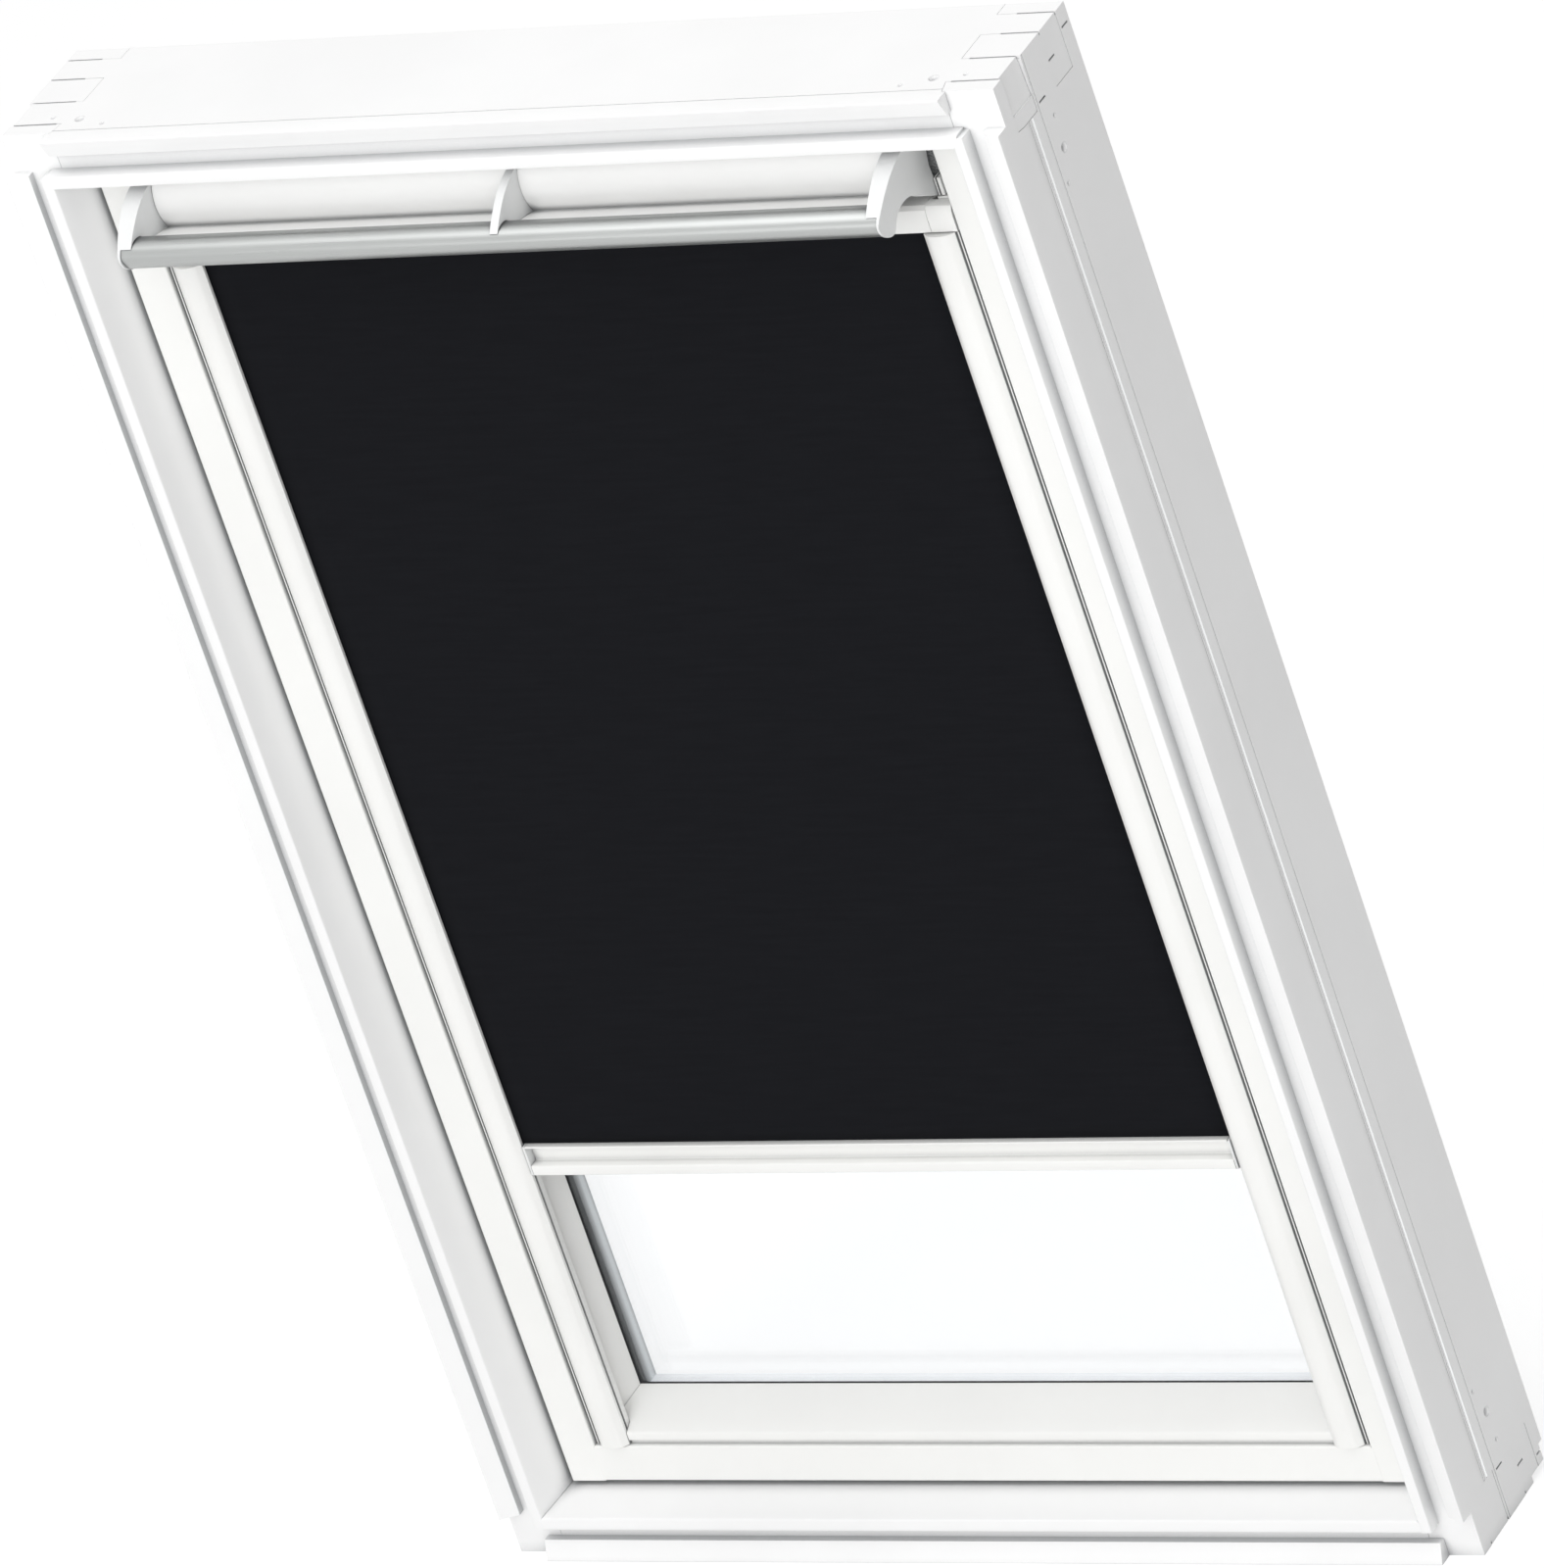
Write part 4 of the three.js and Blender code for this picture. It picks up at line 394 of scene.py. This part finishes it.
def linear(code):
    """The linear colour of a six-digit screen colour."""
    channels = [int(code[i:i + 2], 16) / SCREEN_TOP for i in (0, 2, 4)]
    return tuple(
        value / SCREEN_TOE_SLOPE if value < SCREEN_TOE
        else ((value + SCREEN_OFFSET) / (1 + SCREEN_OFFSET)) ** SCREEN_GAMMA
        for value in channels
    )


def lacquer(name, code, shade, roughness, painted_shade="b4b5b6", reach=mm(10), span=PAINTED_SHADE_RANGE):
    """Sprayed white lacquer: fine orange peel, a slow waviness, and painted shade in its grooves and
    inner corners.
    """
    finish = Finish(name, linear(code), roughness)
    finish.colours(finish.grain("lacquer_clouds"), linear(shade), linear(code), LACQUER_BLEND)
    low, high = LACQUER_GLOSS
    finish.gloss(finish.grain("lacquer_gloss"), roughness + low, roughness + high)
    finish.relief("lacquer_peel")
    finish.relief("lacquer_swell")
    # painted shade in grooves and inner corners
    finish.painted_crevice_shade(linear(painted_shade), reach, span)
    finish.set("Coat Weight", LACQUER_COAT)
    finish.set("Coat Roughness", LACQUER_COAT_ROUGHNESS)
    return finish.material


def bar_metal(name, code, shade, painted_shade):
    """Satin aluminium with drawn lines, and painted shade where it is sheltered."""
    finish = Finish(name, linear(code), roughness=0.3, metallic=1.0)
    lines = finish.grain("bar_lines")
    finish.colours(lines, linear(shade), linear(code))
    finish.gloss(finish.grain("bar_gloss"), *BAR_GLOSS)
    finish.relief("bar_lines", lines)
    # painted shade where the bar is sheltered
    finish.painted_crevice_shade(linear(painted_shade), BAR_PAINTED_SHADE_REACH, BAR_PAINTED_SHADE_RANGE)
    return finish.material


def spacer_metal(name, seal, code, painted_light):
    """The glass unit's spacer: brushed metal between dark seals, with painted light on the faces that
    look up.
    """
    finish = Finish(name, linear(code), roughness=0.42, metallic=0.3)
    low, high = corners_of("glass_spacer")
    parts = finish.node("ShaderNodeSeparateXYZ")
    finish.link(finish.place, parts.inputs[0])
    across = finish.spread(parts.outputs["Y"], -SPACER_SPREAD, SPACER_SPREAD, (low.y, high.y))
    off = finish.combine("SUBTRACT", across, SPACER_METAL_MIDDLE)
    away = finish.combine("ABSOLUTE", off, 0)
    streaks = finish.spread(finish.grain("spacer_lines"), -SPACER_STREAKS, SPACER_STREAKS)
    place = finish.combine("ADD", away, streaks)
    finish.colours(place, linear(code), linear(seal), SPACER_BLEND)
    finish.gloss(finish.grain("spacer_gloss"), *SPACER_GLOSS)
    # painted light on faces that look up
    finish.painted_top_light(linear(painted_light))
    return finish.material


def zinc_metal(name, code, shade, worn):
    """Galvanised steel with its cloudy crystals."""
    finish = Finish(name, linear(code), roughness=0.38, metallic=0.9)
    crystals = finish.cells(ZINC_CELLS)
    finish.colours(crystals, linear(code), linear(shade), ZINC_BLEND)
    finish.gloss(crystals, *ZINC_GLOSS)
    finish.relief("zinc_skin")
    finish.rubbed_edges(linear(worn))
    return finish.material


def powder_coat(name, code, shade, worn):
    """Powder-coated cover sheet: pebbled, with paler handled edges."""
    finish = Finish(name, linear(code), roughness=0.5, metallic=0.25)
    finish.colours(finish.grain("coat_clouds"), linear(shade), linear(code))
    finish.gloss(finish.grain("coat_gloss"), *COAT_GLOSS)
    finish.relief("coat_pebbles")
    finish.rubbed_edges(linear(worn))
    return finish.material


def rubber(name, code, shade):
    """Extruded rubber: matt, dusty in patches, with a fine skin."""
    finish = Finish(name, linear(code), roughness=0.75)
    finish.colours(finish.grain("rubber_dust"), linear(code), linear(shade), RUBBER_BLEND)
    finish.gloss(finish.grain("rubber_gloss"), *RUBBER_GLOSS)
    finish.relief("rubber_skin")
    finish.set("Sheen Weight", RUBBER_SHEEN)
    return finish.material


def moulded(name, code, shade, roughness):
    """Moulded plastic with a fine spark-eroded grain."""
    finish = Finish(name, linear(code), roughness)
    finish.colours(finish.grain("moulded_clouds"), linear(shade), linear(code))
    low, high = MOULDED_GLOSS
    finish.gloss(finish.grain("moulded_gloss"), roughness + low, roughness + high)
    finish.relief("moulded_skin")
    return finish.material


def woven(name, code, shade, pitch):
    """Tight plain weave: two sets of ridges that pass over and under each other."""
    finish = Finish(name, linear(code), roughness=0.9)
    across = finish.wave(pitch, "X")
    along = finish.wave(pitch, "Z")
    cloth = finish.combine("ABSOLUTE", finish.combine("SUBTRACT", across, along), 0)
    yarn = finish.noise(1 / pitch / THREADS_IN_PATCH, YARN_DETAIL, YARN)
    finish.colours(finish.grain("cloth_slubs"), linear(code), linear(shade), CLOTH_BLEND)
    finish.relief("cloth_threads", finish.combine("ADD", cloth, yarn))
    finish.set("Specular IOR Level", CLOTH_SPECULAR)
    return finish.material


def foam(name, code, shade):
    """Open-cell foam: dark pores between thin struts."""
    finish = Finish(name, linear(code), roughness=0.95)
    pores = finish.cells(FOAM_CELLS)
    finish.colours(pores, linear(code), linear(shade), FOAM_BLEND)
    finish.relief("foam_pores", pores)
    finish.set("Specular IOR Level", FOAM_SPECULAR)
    return finish.material


def window_glass(name):
    """Faintly wavy float glass that lets light through."""
    finish = Finish(name, GLASS_TINT, roughness=0.0)
    finish.set("Transmission Weight", 1.0)
    finish.set("IOR", GLASS_IOR)
    finish.relief("glass_waves")
    clear = finish.node("ShaderNodeBsdfTransparent", Color=(*GLASS_TINT, 1))
    ray = finish.node("ShaderNodeLightPath")
    mix = finish.node("ShaderNodeMixShader")
    finish.link(ray.outputs["Is Shadow Ray"], mix.inputs["Fac"])
    finish.link(finish.shader.outputs["BSDF"], mix.inputs[1])
    finish.link(clear.outputs["BSDF"], mix.inputs[2])
    finish.link(mix.outputs["Shader"], finish.tree.nodes["Material Output"].inputs["Surface"])
    return finish.material


# Each lacquer and bar metal below turns its grooves, gaps and inner corners towards a darker colour
# as painted shade (the bracket's by default); the spacer's last colour is painted light on its faces
# that look up.
LOOKS = {
    "frame_paint": lacquer(
        "frame_paint_lacquer", "f8f8f8", "f5f5f5", roughness=0.42,
        painted_shade="a0a2a4", reach=mm(20), span=(0.15, 0.66),
    ),
    "sash_paint": lacquer(
        "sash_paint_lacquer", "f2f2f0", "efefed", roughness=0.42,
        painted_shade="a2a3a3", reach=mm(6), span=(0.15, 0.65),
    ),
    "cover_grey": powder_coat("cover_grey_coat", "5c6064", "4f5357", "a9adb0"),
    "steel_zinc": zinc_metal("steel_zinc_sheet", "b4b7b9", "8b8f92", "d4d6d8"),
    "rubber_black": rubber("rubber_black_profile", "131416", "26272a"),
    "filter_grey": foam("filter_grey_foam", "7c7e7f", "a9abac"),
    "glass": window_glass("glass_float"),
    "spacer_dark": spacer_metal("spacer_dark_profile", "17181a", "e0e4e6", "f4f6f8"),
    "flap_white": lacquer(
        "flap_white_lacquer", "f7f7f6", "f4f4f3", roughness=0.45,
        painted_shade="a4a5a6", reach=mm(9), span=(0.1, 0.5),
    ),
    "bar_aluminium": bar_metal("bar_aluminium_satin", "b6b8b7", "b1b3b2", "5c5e60"),
    # A bright metal that stands in for the highlight along the frame's side scores: painted highlight
    "painted_highlight_strip": bar_metal("painted_highlight_satin", "f2f4f4", "eceeee", "b0b2b3"),
    "bracket_grey": lacquer("bracket_grey_lacquer", "e6e7e7", "e2e3e3", roughness=0.4),
    "blind_white": lacquer(
        "blind_white_lacquer", "f3f3f1", "f0f0ee", roughness=0.38,
        painted_shade="868788", reach=mm(8), span=(0.2, 0.8),
    ),
    "blind_faint_shade": lacquer(
        "blind_faint_shade_lacquer", "f3f3f1", "f0f0ee", roughness=0.38, painted_shade="dededc", reach=mm(4),
    ),
    "seal_grey": rubber("seal_grey_strip", "7c7e7f", "8a8c8d"),
    "fabric_black": woven("fabric_black_weave", "0e0f13", "121317", THREAD_PITCH),
    "plastic_black": moulded("plastic_black_moulded", "101012", "19191b", roughness=0.5),
}

# Head box and end blocks of the blind, which get a fainter painted shade in their seams
FAINT_SHADE_NODES = {
    "blind_box": "blind_faint_shade", "blind_end_left": "blind_faint_shade", "blind_end_right": "blind_faint_shade",
}


def shading_group():
    """A node group that shades a mesh smooth and keeps its sharp edges sharp."""
    group = bpy.data.node_groups.new("round_shading", "GeometryNodeTree")
    for side in ("INPUT", "OUTPUT"):
        group.interface.new_socket("Geometry", in_out=side, socket_type="NodeSocketGeometry")
    first = group.nodes.new("NodeGroupInput")
    last = group.nodes.new("NodeGroupOutput")
    smooth = group.nodes.new("GeometryNodeSetShadeSmooth")
    smooth.domain = "FACE"
    smooth.inputs["Shade Smooth"].default_value = True
    sharp = group.nodes.new("GeometryNodeSetShadeSmooth")
    sharp.domain = "EDGE"
    sharp.inputs["Shade Smooth"].default_value = False
    angle = group.nodes.new("GeometryNodeInputMeshEdgeAngle")
    above = group.nodes.new("FunctionNodeCompare")
    above.operation = "GREATER_THAN"
    above.inputs[1].default_value = SHARP_ANGLE
    group.links.new(angle.outputs["Unsigned Angle"], above.inputs[0])
    group.links.new(first.outputs[0], smooth.inputs["Geometry"])
    group.links.new(smooth.outputs["Geometry"], sharp.inputs["Geometry"])
    group.links.new(above.outputs["Result"], sharp.inputs["Selection"])
    group.links.new(sharp.outputs["Geometry"], last.inputs[0])
    return group


def finish_nodes():
    """Every CAD node gets its finish, and the nodes of the listed finishes get soft edges that catch
    the light.
    """
    slots = {part["node"]: part["material_slot"] for part in frame["record"]["subparts"]}
    shading = shading_group()
    for name, node in NODES.items():
        slot = slots[name]
        for place in node.material_slots:
            place.material = LOOKS[FAINT_SHADE_NODES.get(name, slot)]
        if slot in EDGE_WIDTHS:
            soften(node, EDGE_WIDTHS[slot], shading)


def soften(node, width, shading):
    """Rounds a node's sharp edges and shades it smooth between them."""
    weld = node.modifiers.new("weld", "WELD")
    weld.merge_threshold = MERGE_DISTANCE
    plane = node.modifiers.new("plane", "DECIMATE")
    plane.decimate_type = "DISSOLVE"
    plane.angle_limit = FLAT_ANGLE
    smooth = node.modifiers.new("smooth", "NODES")
    smooth.node_group = shading
    bevel = node.modifiers.new("bevel", "BEVEL")
    bevel.width = width
    bevel.segments = EDGE_SEGMENTS
    bevel.limit_method = "ANGLE"
    bevel.angle_limit = SHARP_ANGLE
    bevel.harden_normals = True


# Pieces
def add_piece(name, vertices, faces, look, body):
    """A smooth-shaded mesh piece that rides on a CAD body."""
    mesh = bpy.data.meshes.new(name)
    mesh.from_pydata([tuple(vertex) for vertex in vertices], [], faces)
    mesh.update()
    mesh.shade_smooth()
    piece = bpy.data.objects.new(name, mesh)
    bpy.context.collection.objects.link(piece)
    mesh.materials.append(LOOKS[look])
    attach(piece, body)
    return piece


def add_flat(name, vertices, faces, look):
    """A piece of the frame with plain faces, turned outwards."""
    piece = add_piece(name, vertices, faces, look, "frame")
    turned = bmesh.new()
    turned.from_mesh(piece.data)
    bmesh.ops.recalc_face_normals(turned, faces=turned.faces)
    turned.to_mesh(piece.data)
    turned.free()
    piece.data.shade_flat()


def thicken(piece, thickness, offset):
    solid = piece.modifiers.new("thickness", "SOLIDIFY")
    solid.thickness = thickness
    solid.offset = offset


def sheet_mesh(low, high, place, relief):
    """The cloth as a grid that faces the room at one place in depth, bent by a relief."""
    vertices = []
    for row in range(CLOTH_ROWS + 1):
        for column in range(CLOTH_COLUMNS + 1):
            x = low.x + (high.x - low.x) * column / CLOTH_COLUMNS
            z = low.z + (high.z - low.z) * row / CLOTH_ROWS
            vertices.append((x, place + relief(x, z), z))
    faces = []
    for row in range(CLOTH_ROWS):
        for column in range(CLOTH_COLUMNS):
            first = row * (CLOTH_COLUMNS + 1) + column
            above = first + CLOTH_COLUMNS + 1
            faces.append((first, first + 1, above + 1, above))
    return vertices, faces


def tightness(low, high):
    """The cloth bows a little across its middle and waves faintly towards its side edges."""
    middle = (low.z + high.z) / 2

    def relief(x, z):
        across = 1 - (2 * x / (high.x - low.x)) ** 2
        along = 1 - ((z - middle) / (high.z - middle)) ** 2
        edge = 1 - across
        wave = math.sin(z * CLOTH_WAVES) * edge * CLOTH_WAVE_DEPTH
        return across * along * CLOTH_BOW + wave * along

    return relief


def make_cloth():
    """The blind's cloth in two layers: the room side rides on the sash, the back on the bar."""
    low, high = corners_of("blind_fabric")
    plane = (low.y + high.y) / 2
    relief = tightness(low, high)
    layers = (
        ("cloth_room_side", "sash", plane - CLOTH_HALF, high.z),
        ("cloth_back", "blind_bar", plane + CLOTH_HALF, low.z),
    )
    for name, body, place, anchor in layers:
        vertices, faces = sheet_mesh(low, high, place, relief)
        cloth = add_piece(name, vertices, faces, "fabric_black", body)
        thicken(cloth, CLOTH_HALF, 0)
        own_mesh(cloth)
        if body == "sash":
            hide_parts("blind_fabric")


def make_roll():
    """The cloth wound on the roller: a spiral with a free edge."""
    low, high = corners_of("fabric_roll")
    tube_low, tube_high = corners_of("roller_tube")
    centre = (low + high) / 2
    outer = (high.y - low.y) / 2
    inner = (tube_high.y - tube_low.y) / 2 + ROLL_GAP
    steps = ROLL_TURNS * ROLL_STEPS
    vertices = []
    for step in range(steps + 1):
        share = step / steps
        angle = math.tau * ROLL_TURNS * share
        radius = inner + (outer - inner) * share
        y = centre.y + radius * math.cos(angle)
        z = centre.z + radius * math.sin(angle)
        vertices.append((low.x, y, z))
        vertices.append((high.x, y, z))
    faces = [(2 * i, 2 * i + 1, 2 * i + 3, 2 * i + 2) for i in range(steps)]
    roll = add_piece("fabric_roll_cloth", vertices, faces, "fabric_black", "roller")
    thicken(roll, (outer - inner) / ROLL_TURNS * ROLL_FULLNESS, -1)
    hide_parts("fabric_roll")


def make_fills():
    """The paint and the bright strip that fill the scores along the frame's sides; the bright strip's
    look is a painted highlight.
    """
    rail_top, _ = corners_of("frame_top")
    _, rail_bottom = corners_of("frame_bottom")
    ends = (rail_bottom.z + FILL_END_GAP, rail_top.z - FILL_END_GAP)
    faces = [(0, 2, 1), (3, 4, 5), (0, 1, 4, 3), (1, 2, 5, 4), (2, 0, 3, 5)]
    for side, inward in (("left", 1), ("right", -1)):
        low, high = corners_of(f"frame_side_{side}")
        face = low.x if side == "left" else high.x
        for name, front, back, hidden in SIDE_FILLS:
            outline = (front, back, (back[0], hidden))
            vertices = [
                (face + inward * depth, low.y + place, z) for z in ends for place, depth in outline
            ]
            look, slot = FILL_LOOKS[name]
            add_flat(f"fill_{name}_{side}", vertices, faces, look)


def plug_mesh(centre, across, along, inward, radius):
    """A round plug with a dish in its face."""
    (_, hidden), *rings, (_, dish) = PLUG_OUTLINE
    vertices = [centre + inward * radius * hidden]
    for share, depth in rings:
        for step in range(PLUG_STEPS):
            angle = math.tau * step / PLUG_STEPS
            spoke = across * math.cos(angle) + along * math.sin(angle)
            vertices.append(centre + spoke * radius * share + inward * radius * depth)
    vertices.append(centre + inward * radius * dish)
    faces = []
    last = len(vertices) - 1
    starts = [1 + ring * PLUG_STEPS for ring in range(len(rings))]
    for step in range(PLUG_STEPS):
        after = (step + 1) % PLUG_STEPS
        faces.append((0, 1 + step, 1 + after))
        for near, far in zip(starts, starts[1:]):
            faces.append((near + step, far + step, far + after, near + after))
        faces.append((starts[-1] + step, last, starts[-1] + after))
    return vertices, faces


def make_plugs():
    """Plugs in the screw holes near the frame's corners, one piece for each member."""
    across, deep, up = Vector((1, 0, 0)), Vector((0, 1, 0)), Vector((0, 0, 1))
    low, _ = corners_of("frame_side_left")
    _, high = corners_of("frame_side_right")
    height = high.z - low.z
    width = high.x - low.x
    members = (
        ("left", low, across, up, SIDE_PLUGS, height),
        ("right", Vector((high.x, low.y, low.z)), -across, up, SIDE_PLUGS, height),
        ("bottom", low, up, across, RAIL_PLUGS, width),
        ("top", Vector((low.x, low.y, high.z)), -up, across, RAIL_PLUGS, width),
    )
    for name, corner, inward, along, plugs, length in members:
        vertices, faces = [], []
        for reach, depth, radius in plugs:
            for place in (reach, length - reach):
                centre = corner + along * place + deep * depth
                first = len(vertices)
                points, sides = plug_mesh(centre, along, deep, inward, radius - PLUG_GAP)
                vertices += points
                faces += [tuple(first + point for point in side) for side in sides]
        add_flat(f"plugs_{name}", vertices, faces, "frame_paint")


# Stage, lamps and camera
def make_camera():
    data = bpy.data.cameras.new("camera")
    data.sensor_fit = "VERTICAL"
    data.sensor_height = SENSOR_HEIGHT
    data.lens = CAMERA_LENS
    data.clip_end = CAMERA_FAR
    camera = bpy.data.objects.new("camera", data)
    axes = Matrix((CAMERA_RIGHT, CAMERA_UP, CAMERA_BACK)).transposed()
    camera.matrix_world = Matrix.Translation(CAMERA_PLACE) @ axes.to_4x4()
    bpy.context.collection.objects.link(camera)
    bpy.context.scene.camera = camera


def make_lamp(name, place, size, power):
    data = bpy.data.lights.new(name, "AREA")
    data.shape = "DISK"
    data.size = size
    data.energy = power
    lamp = bpy.data.objects.new(name, data)
    turn = (Vector(AIM) - Vector(place)).to_track_quat("-Z", "Y")
    lamp.matrix_world = Matrix.Translation(place) @ turn.to_matrix().to_4x4()
    bpy.context.collection.objects.link(lamp)


def seen_white(tree, lit, glow):
    """Shows a white glow in place of a lit shader where the camera, a mirror or a glass looks."""
    ray = tree.nodes.new("ShaderNodeLightPath")
    seen = ray.outputs["Is Camera Ray"]
    for name in ("Is Glossy Ray", "Is Transmission Ray"):
        either = tree.nodes.new("ShaderNodeMath")
        either.operation = "MAXIMUM"
        tree.links.new(seen, either.inputs[0])
        tree.links.new(ray.outputs[name], either.inputs[1])
        seen = either.outputs[0]
    mix = tree.nodes.new("ShaderNodeMixShader")
    tree.links.new(seen, mix.inputs["Fac"])
    tree.links.new(lit, mix.inputs[1])
    tree.links.new(glow, mix.inputs[2])
    return mix.outputs["Shader"]


def make_world():
    """Plain white surroundings that light the object less than they show."""
    world = bpy.data.worlds.new("studio")
    bpy.context.scene.world = world
    world.use_nodes = True
    tree = world.node_tree
    ambient = tree.nodes["Background"]
    ambient.inputs["Color"].default_value = WHITE
    ambient.inputs["Strength"].default_value = WORLD_LIGHT
    white = tree.nodes.new("ShaderNodeBackground")
    white.inputs["Color"].default_value = WHITE
    white.inputs["Strength"].default_value = 1.0
    shown = seen_white(tree, ambient.outputs["Background"], white.outputs["Background"])
    tree.links.new(shown, tree.nodes["World Output"].inputs["Surface"])


def make_floor():
    """A pale floor: its own colour under the lamps, and part of its white as a glow for the
    camera, so that the picture's ground is white and the shadow on it stays."""
    mesh = bpy.data.meshes.new("floor")
    half = FLOOR_SIZE / 2
    corners = [(-half, -half, 0), (half, -half, 0), (half, half, 0), (-half, half, 0)]
    mesh.from_pydata(corners, [], [(0, 1, 2, 3)])
    floor = bpy.data.objects.new("floor", mesh)
    bpy.context.collection.objects.link(floor)
    material = bpy.data.materials.new("floor_pale")
    material.use_nodes = True
    tree = material.node_tree
    lit = tree.nodes["Principled BSDF"]
    lit.inputs["Base Color"].default_value = (FLOOR_COLOUR,) * 3 + (1,)
    lit.inputs["Roughness"].default_value = 1.0
    lit.inputs["Specular IOR Level"].default_value = 0.0
    faint = tree.nodes.new("ShaderNodeBsdfDiffuse")
    faint.inputs["Color"].default_value = (FLOOR_SHADE,) * 3 + (1,)
    glow = tree.nodes.new("ShaderNodeEmission")
    glow.inputs["Strength"].default_value = FLOOR_GLOW
    both = tree.nodes.new("ShaderNodeAddShader")
    tree.links.new(faint.outputs["BSDF"], both.inputs[0])
    tree.links.new(glow.outputs["Emission"], both.inputs[1])
    shown = seen_white(tree, lit.outputs["BSDF"], both.outputs["Shader"])
    tree.links.new(shown, tree.nodes["Material Output"].inputs["Surface"])
    mesh.materials.append(material)


make_camera()
make_world()
make_lamp("key", KEY_PLACE, KEY_SIZE, KEY_POWER)
make_lamp("top", TOP_PLACE, TOP_SIZE, TOP_POWER)
make_floor()
finish_nodes()
make_roll()
make_cloth()
make_fills()
make_plugs()

bpy.context.scene.view_settings.view_transform = "Standard"
